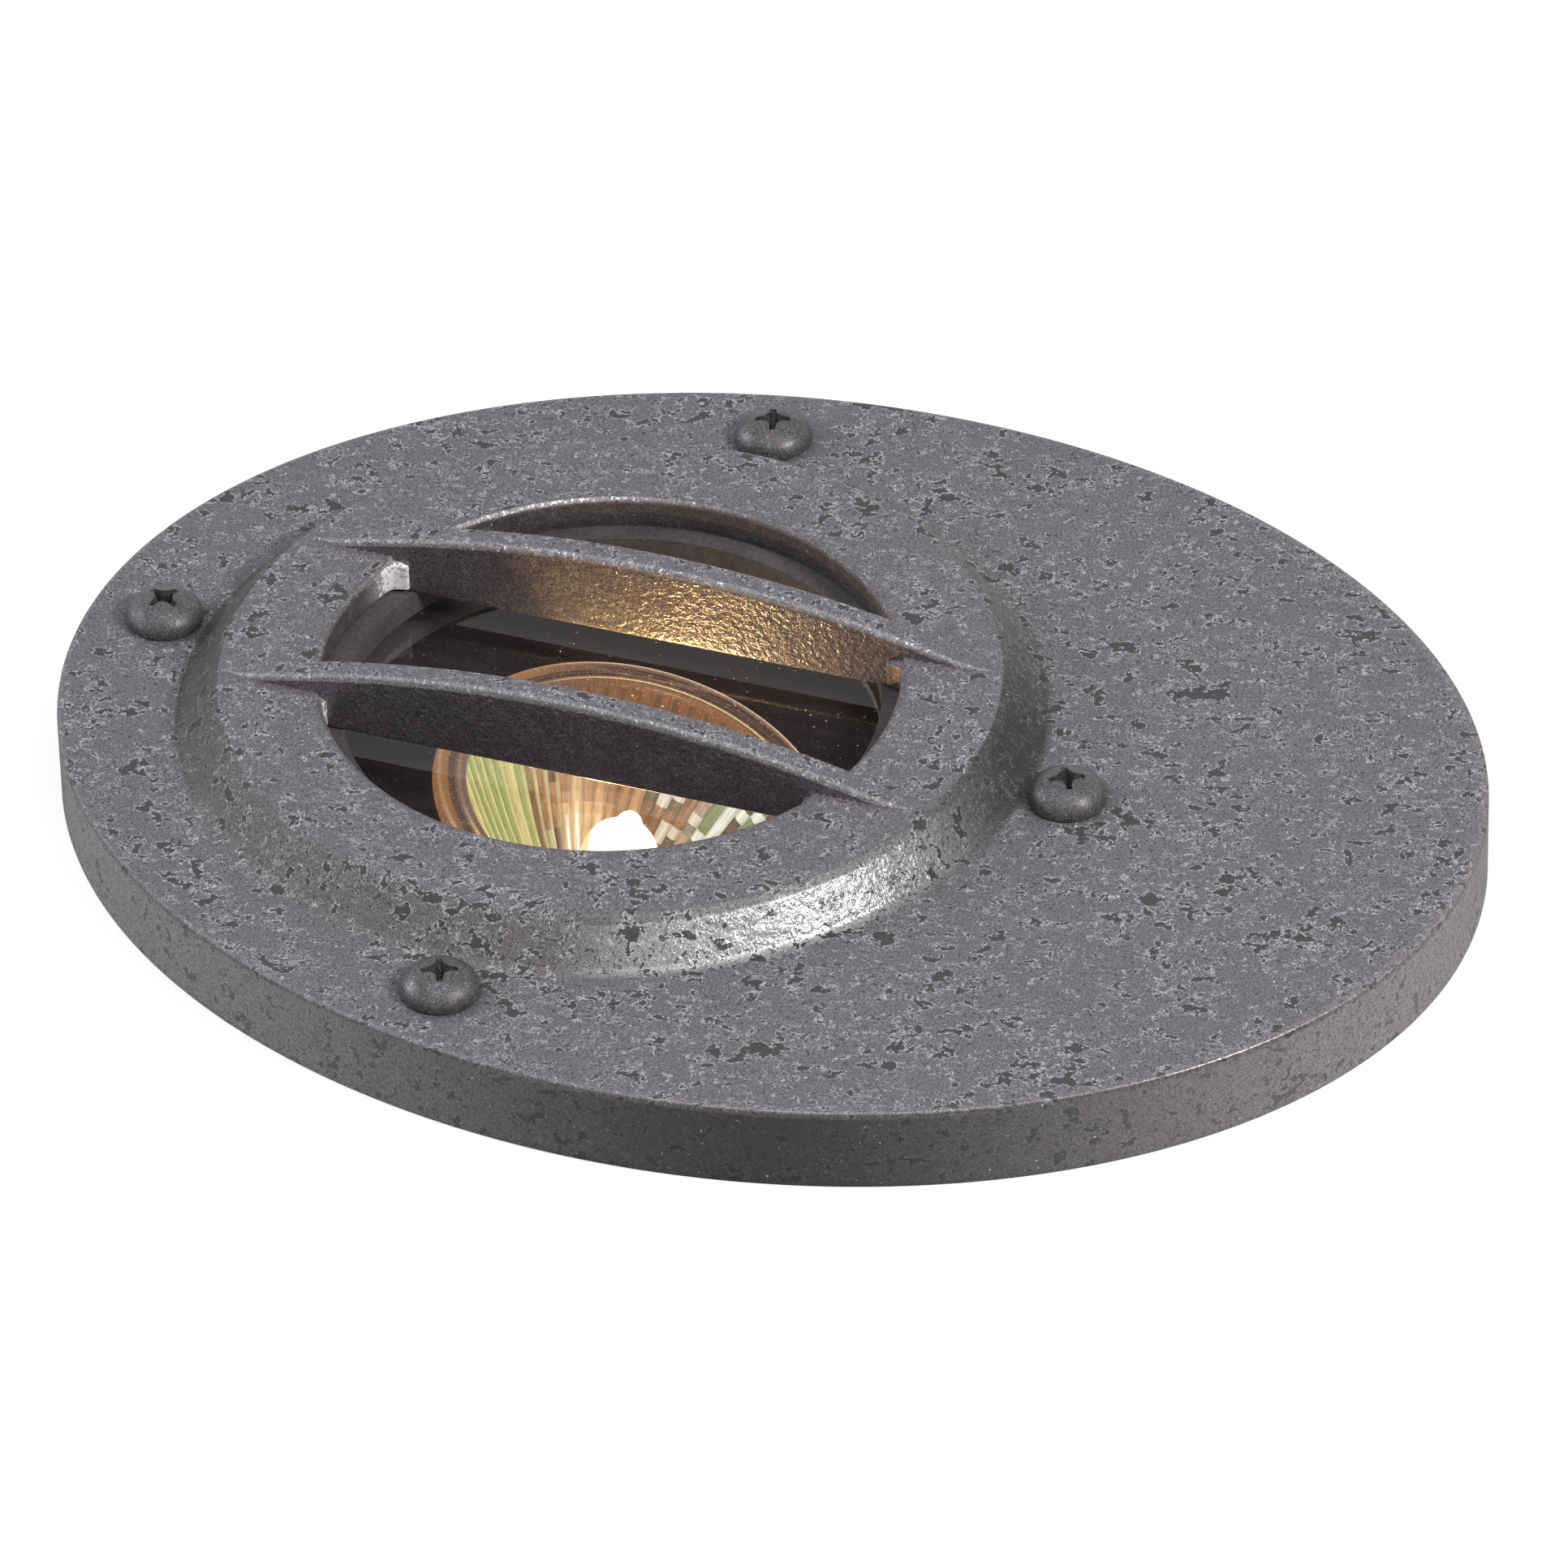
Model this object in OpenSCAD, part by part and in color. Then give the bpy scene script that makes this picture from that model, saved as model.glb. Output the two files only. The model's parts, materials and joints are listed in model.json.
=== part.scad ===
// In-ground well light: an oval cast cover with two louvre ribs over a buried can.
// X runs along the cover's long axis towards its blank end, Z is up.
// The origin is on the lamp's swivel axis, at the underside of the can.

/* [Cover plate] */
// Length of the oval cover
plate_length = 177.8; // [174:0.2:190]
// Room between a screw lug and the skirt where the cover is widest
plate_side_room = 3.25; // [1.5:0.05:9]
// Height of the cover's edge above the ground
plate_height = 11.2; // [11:0.1:13]
// Thickness of the cover's deck
deck_t = 4; // [3.6:0.1:4.6]
// Thickness of the skirt round the cover's edge
skirt_t = 3; // [2.4:0.1:4]

/* [Boss and aperture] */
// Height of the round boss above the deck
boss_height = 5.7; // [5:0.1:8]
// Width of the boss's slope, seen from above
boss_slope_w = 4.4; // [3.4:0.1:5]
// Rounding of the boss's top edge
boss_round = 2.6; // [1:0.1:4]
// Fillet at the boss's foot
boss_fillet = 1.4; // [0.6:0.1:2]
// Radius of the light aperture
aperture_r = 35.5; // [34:0.1:38]

/* [Louvre ribs] */
// Distance between the two ribs' middles
rib_pitch = 29; // [26:0.5:30]
// Thickness of a rib
rib_t = 3.4; // [2.6:0.1:4.2]
// Rise of a rib's arch above the boss
rib_rise = 6.6; // [4:0.1:9]
// Distance from a rib's tip to the boss's top edge
rib_inset = 3.5; // [2:0.1:6]

/* [Lens] */
// Thickness of the lens glass
lens_t = 3.2; // [3:0.1:3.8]
// Thickness of the lens gasket above the glass
top_lip_t = 3.1; // [2.4:0.1:3.6]
// Thickness of the lens gasket's lip under the glass
lip_t = 1.1; // [0.8:0.1:1.4]
// Thickness of the lens gasket round the glass edge
lens_gasket_t = 1.2; // [0.8:0.1:1.6]
// Width of the casting's seat for the lens gasket
lens_seat_w = 6.7; // [6:0.1:7.2]
// How far the gasket shows inside the aperture
lip_show = 2.5; // [1:0.1:3]
// How far the lens seat hangs below the deck
seat_drop = 2; // [1:0.1:2]
// Thickness of the ring that clamps the lens
retainer_t = 2.5; // [2:0.1:3.5]
// Width of the clamping ring
retainer_w = 12; // [11.6:0.1:12.6]
// Width of that ring outside the lens pocket
retainer_land = 6.3; // [5.8:0.1:7]
// Number of screws that hold the clamping ring
retainer_screw_count = 4; // [4, 8]

/* [Cover screws] */
// Distance from the boss's foot to a cover screw's axis
screw_inset = 6.25; // [5.8:0.05:7]
// Diameter of a cover screw's head
head_d = 9.6; // [8.6:0.1:10]
// Height of a cover screw's head
head_h = 3.5; // [2.6:0.1:4]
// Diameter of a cover screw's thread
screw_d = 4.8; // [4:0.1:5.2]
// Length of a cover screw below its head
screw_length = 16; // [13:0.5:17]
// Turn of each screw's cross recess, in degrees
cross_turns = [28, 18, 62, 22];

/* [Can] */
// Depth of the can below the ground line
well_depth = 110; // [104:1:140]
// Room between the clamping ring and the can's wall
ring_room = 2.5; // [1:0.1:5]
// Wall of the can
well_wall = 3; // [2:0.1:3.4]
// Floor of the can
floor_t = 4; // [3:0.1:6]
// Thickness of the can's flange
flange_t = 4; // [3:0.1:4.4]
// Width of the can's flange between its screw lugs
flange_w = 7.5; // [6:0.1:7.8]
// Thickness of the gasket under the cover
cover_gasket_t = 2; // [1.4:0.1:2.4]
// Radius of a screw lug
lug_r = 5.6; // [5.2:0.05:5.8]
// How far the can's foot stands out
foot_w = 5; // [2:0.5:10]
// Thickness of the can's foot
foot_t = 3; // [2:0.1:5]
// Length of a brass insert
insert_length = 12; // [8:0.5:12.5]
// Height of the pillar that carries the swivel
pillar_h = 22; // [20:0.5:26]
// Radius of that pillar
pillar_r = 9; // [8:0.1:11]

/* [Cable gland] */
// Height of the gland above the can's underside
gland_z = 24; // [20:0.5:34]
// Diameter of the gland's thread
gland_thread_d = 20; // [18:0.1:21]
// Size of the gland's hexagons across their corners
gland_hex_d = 27.7; // [26:0.1:30]
// Largest cable that the gland takes
cable_d = 8; // [5:0.1:9]
// Length of the sleeve in the gland
seal_length = 12; // [8:0.5:13]

/* [Lamp] */
// Diameter of the lamp over its rim
lamp_d = 50.4; // [48:0.1:50.8]
// Length of the lamp from its rim to its base
lamp_length = 38.5; // [36:0.5:42]
// Diameter of the reflector's neck
neck_d = 17.6; // [15:0.1:19]
// Wall of the reflector
reflector_t = 1.5; // [1.1:0.1:1.7]
// Diameter of the quartz capsule
capsule_d = 9.6; // [8:0.1:10]
// Distance between the lamp's two pins
pin_pitch = 5.33; // [5:0.01:6]
// Diameter of a lamp pin
pin_d = 1.5; // [1.2:0.05:1.6]
// Length of a lamp pin
pin_length = 7.2; // [6:0.1:8]
// Lean of the lamp as it was set, in degrees
lean = 15; // [0:1:20]
// Largest lean to either side, in degrees
lean_max = 20; // [20, 22]

/* [Gimbal] */
// Distance from the lamp's rim down to the tilt axis
rim_to_pivot = 11; // [9:0.5:13]
// Thickness of the sheet steel
sheet_t = 1.5; // [1.2:0.1:2]
// Width of the yoke's arms
arm_w = 14; // [10:0.5:16]
// Wall of the band that carries the lamp
band_t = 1; // [0.8:0.1:1.2]
// Height of that band
band_h = 13; // [11:0.5:14]
// Diameter of the tilt screws' shoulders
shoulder_d = 4; // [3.4:0.1:5]
// Diameter of the swivel bolt
swivel_d = 5; // [4:0.1:6]

/* [Lamp socket and terminal] */
// Length of the socket along the pins' row
socket_l = 17.6; // [15:0.1:20]
// Width of the socket
socket_w = 10.4; // [9:0.1:12]
// Height of the socket
socket_h = 15; // [12:0.5:16]
// Length of the terminal block, along the row of its ways
block_l = 22; // [21:0.5:26]
// Width of the terminal block
block_w = 17; // [15:0.5:19]
// Height of the terminal block
block_h = 12; // [11:0.5:14]
// Distance between the terminal block's two ways
way_pitch = 11; // [11:0.5:13]
// Diameter of a lead over its sleeve
lead_d = 2.4; // [1.8:0.1:2.8]

/* [Hidden] */
$fn = 96;

// Clearances and small common sizes
thread_gap = 0.05;      // round a screw in its thread, round an insert in its hole
running_gap = 0.05;     // round a shoulder or bolt that turns in its bore
part_gap = 0.3;         // between faces that move past each other
bond_gap = 0.05;        // between round faces that are cemented together
hole_gap = 0.35;        // round a screw in a plain hole
over = 1;               // how far a cut runs past a face
insert_wall = 1;        // wall of a brass insert
outline_count = 120;    // points of an oval outline
arc_count = 8;          // steps of a rounded corner
screw_angles = [0, 90, 180, 270];

// Levels of the cover
ground_z = well_depth;
plate_top_z = ground_z + plate_height;
deck_under_z = plate_top_z - deck_t;
boss_top_z = plate_top_z + boss_height;
pocket_depth = top_lip_t + lens_t + lip_t;
seat_under_z = deck_under_z - seat_drop;
seat_z = seat_under_z + pocket_depth;
lens_top_z = seat_z - top_lip_t;
lens_under_z = lens_top_z - lens_t;
flange_top_z = deck_under_z - cover_gasket_t;
flange_under_z = flange_top_z - flange_t;

// Radii, from the aperture outwards
lens_pocket_r = aperture_r + lens_seat_w;
lip_r = aperture_r - lip_show;
lens_r = lens_pocket_r - lens_gasket_t;
retainer_r = lens_pocket_r + retainer_land;
well_inner_r = retainer_r + ring_room;
well_r = well_inner_r + well_wall;
flange_r = well_r + flange_w;
foot_r = well_r + foot_w;
lug_bite = 0.95;
screw_circle_r = well_r + lug_r - lug_bite;
boss_base_r = screw_circle_r - screw_inset;
boss_top_r = boss_base_r - boss_slope_w;
rib_reach = boss_top_r - rib_inset;
retainer_screw_r = (lens_pocket_r + retainer_r) / 2;
retainer_screw_d = 2.9;
retainer_screw_length = 7.5;
retainer_hole_h = retainer_screw_length - retainer_t + over;
retainer_head_d = 5.5;
retainer_head_h = 2;
retainer_turn = 45;
gasket_inset = 1;
lug_margin = 2;

// The lamp's axis stands as far towards the near end as a lug and the flange fit in the skirt
lug_gap = 1.25;
flange_gap = 0.8;
plate_width = 2 * (screw_circle_r + lug_r + plate_side_room + skirt_t);
skirt_a = plate_length / 2 - skirt_t;
skirt_b = plate_width / 2 - skirt_t;
lug_shift = skirt_a - (screw_circle_r + lug_r + lug_gap);
flange_share = 1 - pow((flange_r + flange_gap) / skirt_b, 2);
flange_shift = sqrt(max(0, (pow(skirt_a, 2) - pow(skirt_b, 2)) * flange_share));
plate_shift = min(lug_shift, flange_shift);

// Levels of the gimbal: at full lean the lamp's rim just clears the lens
lens_clearance = 0.35;
lamp_r = lamp_d / 2;
rim_lift = rim_to_pivot * cos(lean_max) + lamp_r * sin(lean_max);
pivot_z = lens_under_z - lens_clearance - rim_lift;
pillar_top_z = floor_t + pillar_h;
yoke_top_z = pillar_top_z + sheet_t;
washer_t = 0.8;
bolt_head_h = 3.2;
bolt_head_d = 8.8;
bolt_length = 14;
swivel_insert_length = 16;

// A screw head: its recess and its rim, as shares of its size
recess_share = 0.56;
recess_w_share = 0.13;
recess_h_share = 0.6;
head_edge_share = 0.28;

// The lamp, along its own axis from the tilt axis
rim_z = rim_to_pivot;
rim_t = 1.8;
rim_w = 3;
front_r = lamp_r - rim_w;
lamp_base_z = rim_z - lamp_length;
neck_r = neck_d / 2;
neck_h = 8;
bowl_power = 0.55;
capsule_r = capsule_d / 2;
capsule_wall = 0.9;
capsule_h = 23.5;
cement_h = 10.5;
cement_top_z = lamp_base_z + cement_h;
pin_bite = 3;
filament_r = 0.8;
stem_r = 0.4;
filament_h = 5;
filament_room = 8;
filament_z = cement_top_z + capsule_h - filament_room;
socket_top_z = lamp_base_z - part_gap;
socket_under_z = socket_top_z - socket_h;

// The band under the lamp's rim, its pads and the yoke's arms
band_gap = 0.4;
rim_step = 1.3;
band_inner_r = lamp_r - rim_step;
band_r = band_inner_r + band_t;
band_top_z = rim_z - rim_t;
pad_w = 9;
pad_t = 1.1;
pad_y = band_r + pad_t;
arm_y = pad_y + part_gap;
tilt_thread_d = 3;
tilt_head_d = 6.4;
tilt_head_h = 2.2;
tilt_tip_inside = 0.7;
tilt_tip_y = band_inner_r - tilt_tip_inside;

// The terminal block on the yoke's tongue
block_start_x = 14;
block_x = block_start_x + block_w / 2;
tongue_margin = 1.5;
way_z = 5;
lead_r = lead_d / 2;
clamp_screw_d = 3;
clamp_screw_h = 5.5;
clamp_inset = 4.2;
slot_w = 0.6;
slot_h = 0.9;
block_screw_d = 3;
block_screw_head_d = 6;
block_screw_head_h = 2.2;
block_foot_t = 4;
lead_bend = 15;

// The gland, along Y from the can's axis
gland_thread_r = gland_thread_d / 2;
gland_hex_r = gland_hex_d / 2;
hub_margin = 1.6;
hub_proud = 3;
hub_inside = 3.5;
hub_r = gland_hex_r + hub_margin;
hub_face_y = well_r + hub_proud;
hub_back_y = well_inner_r - hub_inside;
locknut_t = 5;
locknut_margin = 1;
gland_back_y = hub_back_y - locknut_t - locknut_margin;
gland_washer_t = 1.5;
gland_washer_inset = 1;
gland_hex_y = hub_face_y + gland_washer_t;
gland_hex_t = 8;
gland_neck_y = gland_hex_y + gland_hex_t;
thread_step = 0.8;
gland_neck_r = gland_thread_r - thread_step;
gland_neck_l = 9.5;
nut_gap = 0.5;
nut_l = 15;
nut_y = gland_neck_y + nut_gap;
nut_end_y = nut_y + nut_l;
nose_l = 7;
nose_round = 4;
nose_inset = 0.6;
seal_wall = 2;
seal_r = gland_neck_r - seal_wall;
seal_y = gland_neck_y + gland_neck_l - seal_length;
cable_r = cable_d / 2;

function oval_points(a, b) = [
    for (i = [0:outline_count - 1])
        let (t = 360 * i / outline_count)
        [a * cos(t), b * sin(t)]
];

function arc_points(x, y, r, from, to) = [
    for (i = [0:arc_count])
        let (t = from + (to - from) * i / arc_count)
        [x + r * cos(t), y + r * sin(t)]
];

// A point of a cubic curve, given its four control points
function curve_point(p, t) =
    pow(1 - t, 3) * p[0] + 3 * t * pow(1 - t, 2) * p[1]
    + 3 * pow(t, 2) * (1 - t) * p[2] + pow(t, 3) * p[3];

function curve_slope(p, t) =
    3 * pow(1 - t, 2) * (p[1] - p[0]) + 6 * t * (1 - t) * (p[2] - p[1])
    + 3 * pow(t, 2) * (p[3] - p[2]);

// The bowl's radius at a share t of its height
function bowl_r(from_r, to_r, t) = from_r + (to_r - from_r) * pow(t, bowl_power);

// A point given along the lamp's axis, leaned about the tilt axis and put in place
function leaned(p) =
    [p[0] * cos(lean) + p[2] * sin(lean), p[1], pivot_z - p[0] * sin(lean) + p[2] * cos(lean)];

// The cover screws' places, at a height z
module at_cover_screws(z) {
    for (a = screw_angles)
        rotate([0, 0, a]) translate([screw_circle_r, 0, z]) children();
}

// The retainer screws' places, at a height z
module at_retainer_screws(z) {
    for (i = [0:retainer_screw_count - 1])
        rotate([0, 0, retainer_turn + 360 * i / retainer_screw_count])
            translate([retainer_screw_r, 0, z]) children();
}

module ring(outer_r, inner_r, from_z, to_z) {
    translate([0, 0, from_z]) difference() {
        cylinder(r = outer_r, h = to_z - from_z);
        translate([0, 0, -over]) cylinder(r = inner_r, h = to_z - from_z + 2 * over);
    }
}

// Lays a shape that was drawn along Z on the gland's axis, from a distance y out
module on_gland_axis(y = 0) {
    translate([0, y, gland_z]) rotate([-90, 0, 0]) children();
}

module lean_lamp() {
    translate([0, 0, pivot_z]) rotate([0, lean, 0]) children();
}

module oval(inset, from_z, to_z) {
    translate([plate_shift, 0, from_z]) linear_extrude(to_z - from_z)
        polygon(oval_points(plate_length / 2 - inset, plate_width / 2 - inset));
}

// The round boss: a slope with a rounded top edge and a filleted foot
module boss_form() {
    slope = atan2(boss_height, boss_base_r - boss_top_r);
    top_run = boss_round * tan(slope / 2);
    foot_run = boss_fillet * tan(slope / 2);
    rotate_extrude() polygon(concat(
        [[0, deck_under_z], [boss_base_r + foot_run, deck_under_z]],
        arc_points(boss_base_r + foot_run, plate_top_z + boss_fillet, boss_fillet, 270, 270 - slope),
        arc_points(boss_top_r - top_run, boss_top_z - boss_round, boss_round, 90 - slope, 90),
        [[0, boss_top_z]]
    ));
}

// An arched louvre rib, its flat underside level with the aperture wall's
module rib() {
    arch_r = (pow(rib_reach, 2) + pow(rib_rise, 2)) / (2 * rib_rise);
    crest_z = boss_top_z + rib_rise;
    intersection() {
        translate([0, rib_t / 2, crest_z - arch_r])
            rotate([90, 0, 0]) cylinder(r = arch_r, h = rib_t, $fn = 360);
        translate([-rib_reach, -rib_t, seat_z]) cube([2 * rib_reach, 2 * rib_t, crest_z]);
    }
}

module cover_plate() {
    color("#66666a") union() {
        difference() {
            union() {
                difference() {
                    oval(0, ground_z, plate_top_z);
                    oval(skirt_t, ground_z - over, deck_under_z);
                }
                boss_form();
                translate([0, 0, seat_under_z]) cylinder(r = retainer_r, h = seat_drop + over);
            }
            translate([0, 0, seat_under_z - over])
                cylinder(r = lens_pocket_r, h = pocket_depth + over);
            translate([0, 0, ground_z]) cylinder(r = aperture_r, h = boss_top_z);
            at_cover_screws(ground_z) cylinder(r = screw_d / 2 + hole_gap, h = boss_top_z);
            at_retainer_screws(seat_under_z - over)
                cylinder(r = retainer_screw_d / 2 + thread_gap, h = retainer_hole_h + over);
        }
        for (side = [-1, 1])
            translate([0, side * rib_pitch / 2, 0]) rib();
    }
}

module cover_gasket() {
    color("#242424") difference() {
        union() {
            ring(flange_r, well_inner_r + gasket_inset, flange_top_z, deck_under_z);
            at_cover_screws(flange_top_z) cylinder(r = lug_r, h = cover_gasket_t);
        }
        at_cover_screws(flange_top_z - over)
            cylinder(r = screw_d / 2 + hole_gap, h = cover_gasket_t + 2 * over);
    }
}

module lens_glass() {
    color("#cfd8da", 0.35) translate([0, 0, lens_under_z]) cylinder(r = lens_r, h = lens_t);
}

// A ring of channel section that wraps the edge of the glass
module lens_gasket() {
    color("#6f6257") difference() {
        ring(lens_pocket_r, lip_r, seat_under_z, seat_z);
        translate([0, 0, lens_under_z]) cylinder(r = lens_r, h = lens_t);
    }
}

module lens_retainer() {
    color("#8d9092") difference() {
        ring(retainer_r, retainer_r - retainer_w, seat_under_z - retainer_t, seat_under_z);
        at_retainer_screws(seat_under_z - retainer_t - over)
            cylinder(r = retainer_screw_d / 2 + hole_gap, h = retainer_t + 2 * over);
    }
}

// A domed head with a cross recess, its flat underside at z = 0
module cross_head(d, h, turn) {
    recess_l = recess_share * d;
    recess_w = recess_w_share * d;
    edge_h = head_edge_share * h;
    dome = [
        for (i = [0:arc_count])
            let (t = 90 * i / arc_count)
            [d / 2 * cos(t), edge_h + (h - edge_h) * sin(t)]
    ];
    difference() {
        rotate_extrude() polygon(concat([[0, 0], [d / 2, 0]], dome));
        for (a = [0, 90])
            rotate([0, 0, turn + a])
                translate([-recess_l / 2, -recess_w / 2, h - recess_h_share * h])
                    cube([recess_l, recess_w, h]);
    }
}

module cover_screws() {
    color("#3b3a3c") for (i = [0:len(screw_angles) - 1])
        rotate([0, 0, screw_angles[i]]) translate([screw_circle_r, 0, plate_top_z]) union() {
            cross_head(head_d, head_h, cross_turns[i] - screw_angles[i]);
            translate([0, 0, -screw_length]) cylinder(r = screw_d / 2, h = screw_length);
        }
}

module retainer_screws() {
    color("#b9b9b6") at_retainer_screws(seat_under_z - retainer_t) union() {
        mirror([0, 0, 1]) cross_head(retainer_head_d, retainer_head_h, 0);
        cylinder(r = retainer_screw_d / 2, h = retainer_screw_length);
    }
}

// The can's wall, a length of pipe with a hub for the gland
module well_sleeve() {
    color("#2f2f31") difference() {
        union() {
            ring(well_r, well_inner_r, floor_t, flange_under_z);
            on_gland_axis(hub_back_y) cylinder(r = hub_r, h = hub_face_y - hub_back_y);
        }
        on_gland_axis(hub_back_y - over)
            cylinder(r = gland_thread_r + thread_gap, h = hub_face_y - hub_back_y + 2 * over);
    }
}

// The can's floor, with its foot and the pillar of the swivel
module well_base() {
    color("#2f2f31") difference() {
        union() {
            cylinder(r = foot_r, h = foot_t);
            cylinder(r = well_r, h = floor_t);
            cylinder(r = pillar_r, h = pillar_top_z);
        }
        translate([0, 0, pillar_top_z - swivel_insert_length])
            cylinder(r = swivel_d / 2 + insert_wall + thread_gap, h = swivel_insert_length + over);
    }
}

// The can's flange, cemented on its wall, with a lug for each cover screw
module mounting_flange() {
    lug_under_z = flange_top_z - insert_length - lug_margin;
    color("#2f2f31") difference() {
        union() {
            ring(flange_r, well_inner_r, flange_under_z, flange_top_z);
            at_cover_screws(lug_under_z) cylinder(r = lug_r, h = flange_top_z - lug_under_z);
        }
        cylinder(r = well_r + bond_gap, h = flange_under_z);
        at_cover_screws(flange_top_z - insert_length)
            cylinder(r = screw_d / 2 + insert_wall + thread_gap, h = insert_length + over);
    }
}

module cover_inserts() {
    color("#b08d4a") at_cover_screws(flange_top_z - insert_length)
        ring(screw_d / 2 + insert_wall, screw_d / 2 + thread_gap, 0, insert_length);
}

module swivel_insert() {
    color("#b08d4a") ring(swivel_d / 2 + insert_wall, swivel_d / 2 + thread_gap,
        pillar_top_z - swivel_insert_length, pillar_top_z);
}

module swivel_bolt() {
    color("#a9abad") translate([0, 0, yoke_top_z + washer_t]) union() {
        cylinder(r = bolt_head_d / 2, h = bolt_head_h, $fn = 6);
        translate([0, 0, -bolt_length]) cylinder(r = swivel_d / 2, h = bolt_length);
    }
}

module spring_washer() {
    color("#8c8e90") ring(bolt_head_d / 2, swivel_d / 2 + running_gap, yoke_top_z, yoke_top_z + washer_t);
}

module gland_body() {
    color("#1f1f20") difference() {
        union() {
            on_gland_axis(gland_back_y) cylinder(r = gland_thread_r, h = gland_hex_y - gland_back_y);
            on_gland_axis(gland_hex_y) cylinder(r = gland_hex_r, h = gland_hex_t, $fn = 6);
            on_gland_axis(gland_neck_y) cylinder(r = gland_neck_r, h = gland_neck_l);
        }
        on_gland_axis(gland_back_y - over) cylinder(r = cable_r, h = nut_end_y);
        on_gland_axis(seal_y) cylinder(r = seal_r, h = nut_end_y);
    }
}

module gland_washer() {
    color("#101010") on_gland_axis()
        ring(gland_hex_r - gland_washer_inset, gland_thread_r + thread_gap, hub_face_y, gland_hex_y);
}

module gland_locknut() {
    color("#1f1f20") on_gland_axis(hub_back_y - locknut_t) difference() {
        cylinder(r = gland_hex_r, h = locknut_t, $fn = 6);
        translate([0, 0, -over])
            cylinder(r = gland_thread_r + thread_gap, h = locknut_t + 2 * over);
    }
}

module gland_seal() {
    color("#3a3a3a") on_gland_axis() ring(seal_r, cable_r, seal_y, seal_y + seal_length);
}

// The clamping nut: a hexagon with a rounded nose
module gland_nut() {
    nose_r = gland_hex_r * cos(30) - nose_inset;
    color("#1f1f20") difference() {
        union() {
            on_gland_axis(nut_y) cylinder(r = gland_hex_r, h = nut_l - nose_l, $fn = 6);
            on_gland_axis() rotate_extrude() polygon(concat(
                [[0, nut_y], [nose_r, nut_y]],
                arc_points(nose_r - nose_round, nut_end_y - nose_round, nose_round, 0, 90),
                [[0, nut_end_y]]
            ));
        }
        on_gland_axis(nut_y - over) cylinder(r = gland_neck_r + thread_gap, h = gland_neck_l + over);
        on_gland_axis(nut_y) cylinder(r = cable_r, h = nut_end_y);
    }
}

// One sheet, bent up into two arms, with a tongue for the terminal block
module swivel_yoke() {
    arm_out_y = arm_y + sheet_t;
    tongue_x = block_x + block_w / 2 + tongue_margin;
    tongue_w = block_l + 2 * tongue_margin;
    color("#9b9da0") difference() {
        union() {
            translate([-arm_w / 2, -arm_out_y, pillar_top_z]) cube([arm_w, 2 * arm_out_y, sheet_t]);
            translate([0, -tongue_w / 2, pillar_top_z]) cube([tongue_x, tongue_w, sheet_t]);
            for (side_y = [arm_y, -arm_out_y]) {
                translate([-arm_w / 2, side_y, pillar_top_z])
                    cube([arm_w, sheet_t, pivot_z - pillar_top_z]);
                translate([0, side_y, pivot_z])
                    rotate([-90, 0, 0]) cylinder(r = arm_w / 2, h = sheet_t);
            }
        }
        translate([0, 0, pillar_top_z - over])
            cylinder(r = swivel_d / 2 + running_gap, h = sheet_t + 2 * over);
        translate([0, -arm_out_y - over, pivot_z]) rotate([-90, 0, 0])
            cylinder(r = shoulder_d / 2 + running_gap, h = 2 * (arm_out_y + over));
        translate([block_x, 0, pillar_top_z - over])
            cylinder(r = block_screw_d / 2 + thread_gap, h = sheet_t + 2 * over);
    }
}

// The places of the four clamp screws, at a height z
module at_clamp_screws(z) {
    clamp_x = block_w / 2 - clamp_inset;
    for (x = [block_x - clamp_x, block_x + clamp_x], y = [-way_pitch / 2, way_pitch / 2])
        translate([x, y, z]) children();
}

module terminal_block() {
    color("#ece8dc") difference() {
        translate([block_x - block_w / 2, -block_l / 2, yoke_top_z])
            cube([block_w, block_l, block_h]);
        for (y = [-way_pitch / 2, way_pitch / 2])
            translate([block_x - block_w, y, yoke_top_z + way_z])
                rotate([0, 90, 0]) cylinder(r = lead_r + hole_gap, h = 2 * block_w);
        at_clamp_screws(yoke_top_z + way_z)
            cylinder(r = clamp_screw_d / 2 + thread_gap, h = block_h);
        translate([block_x, 0, yoke_top_z + block_foot_t])
            cylinder(r = block_screw_head_d / 2 + hole_gap, h = block_h);
        translate([block_x, 0, yoke_top_z - over])
            cylinder(r = block_screw_d / 2 + thread_gap, h = block_h);
    }
}

// Four clamp screws with plain slots
module terminal_screws() {
    color("#c2a45e") at_clamp_screws(yoke_top_z + block_h - clamp_screw_h) difference() {
        cylinder(r = clamp_screw_d / 2, h = clamp_screw_h);
        translate([-clamp_screw_d, -slot_w / 2, clamp_screw_h - slot_h])
            cube([2 * clamp_screw_d, slot_w, clamp_screw_h]);
    }
}

module block_screw() {
    color("#b9b9b6") translate([block_x, 0, yoke_top_z + block_foot_t]) union() {
        cross_head(block_screw_head_d, block_screw_head_h, 0);
        translate([0, 0, -block_foot_t - sheet_t])
            cylinder(r = block_screw_d / 2, h = block_foot_t + sheet_t);
    }
}

// The band that the lamp's rim rests on, with a flat pad for each tilt screw
module lamp_band() {
    color("#2b2622") lean_lamp() difference() {
        union() {
            cylinder(r = band_r, h = band_top_z);
            translate([0, 0, band_top_z - band_h]) cylinder(r = band_r, h = band_h);
            translate([-pad_w / 2, -pad_y, -pad_w / 2]) cube([pad_w, 2 * pad_y, pad_w]);
        }
        translate([0, 0, -lamp_length]) cylinder(r = band_inner_r, h = 2 * lamp_length);
        translate([0, -pad_y - over, 0]) rotate([-90, 0, 0])
            cylinder(r = tilt_thread_d / 2 + thread_gap, h = 2 * (pad_y + over));
    }
}

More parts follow.
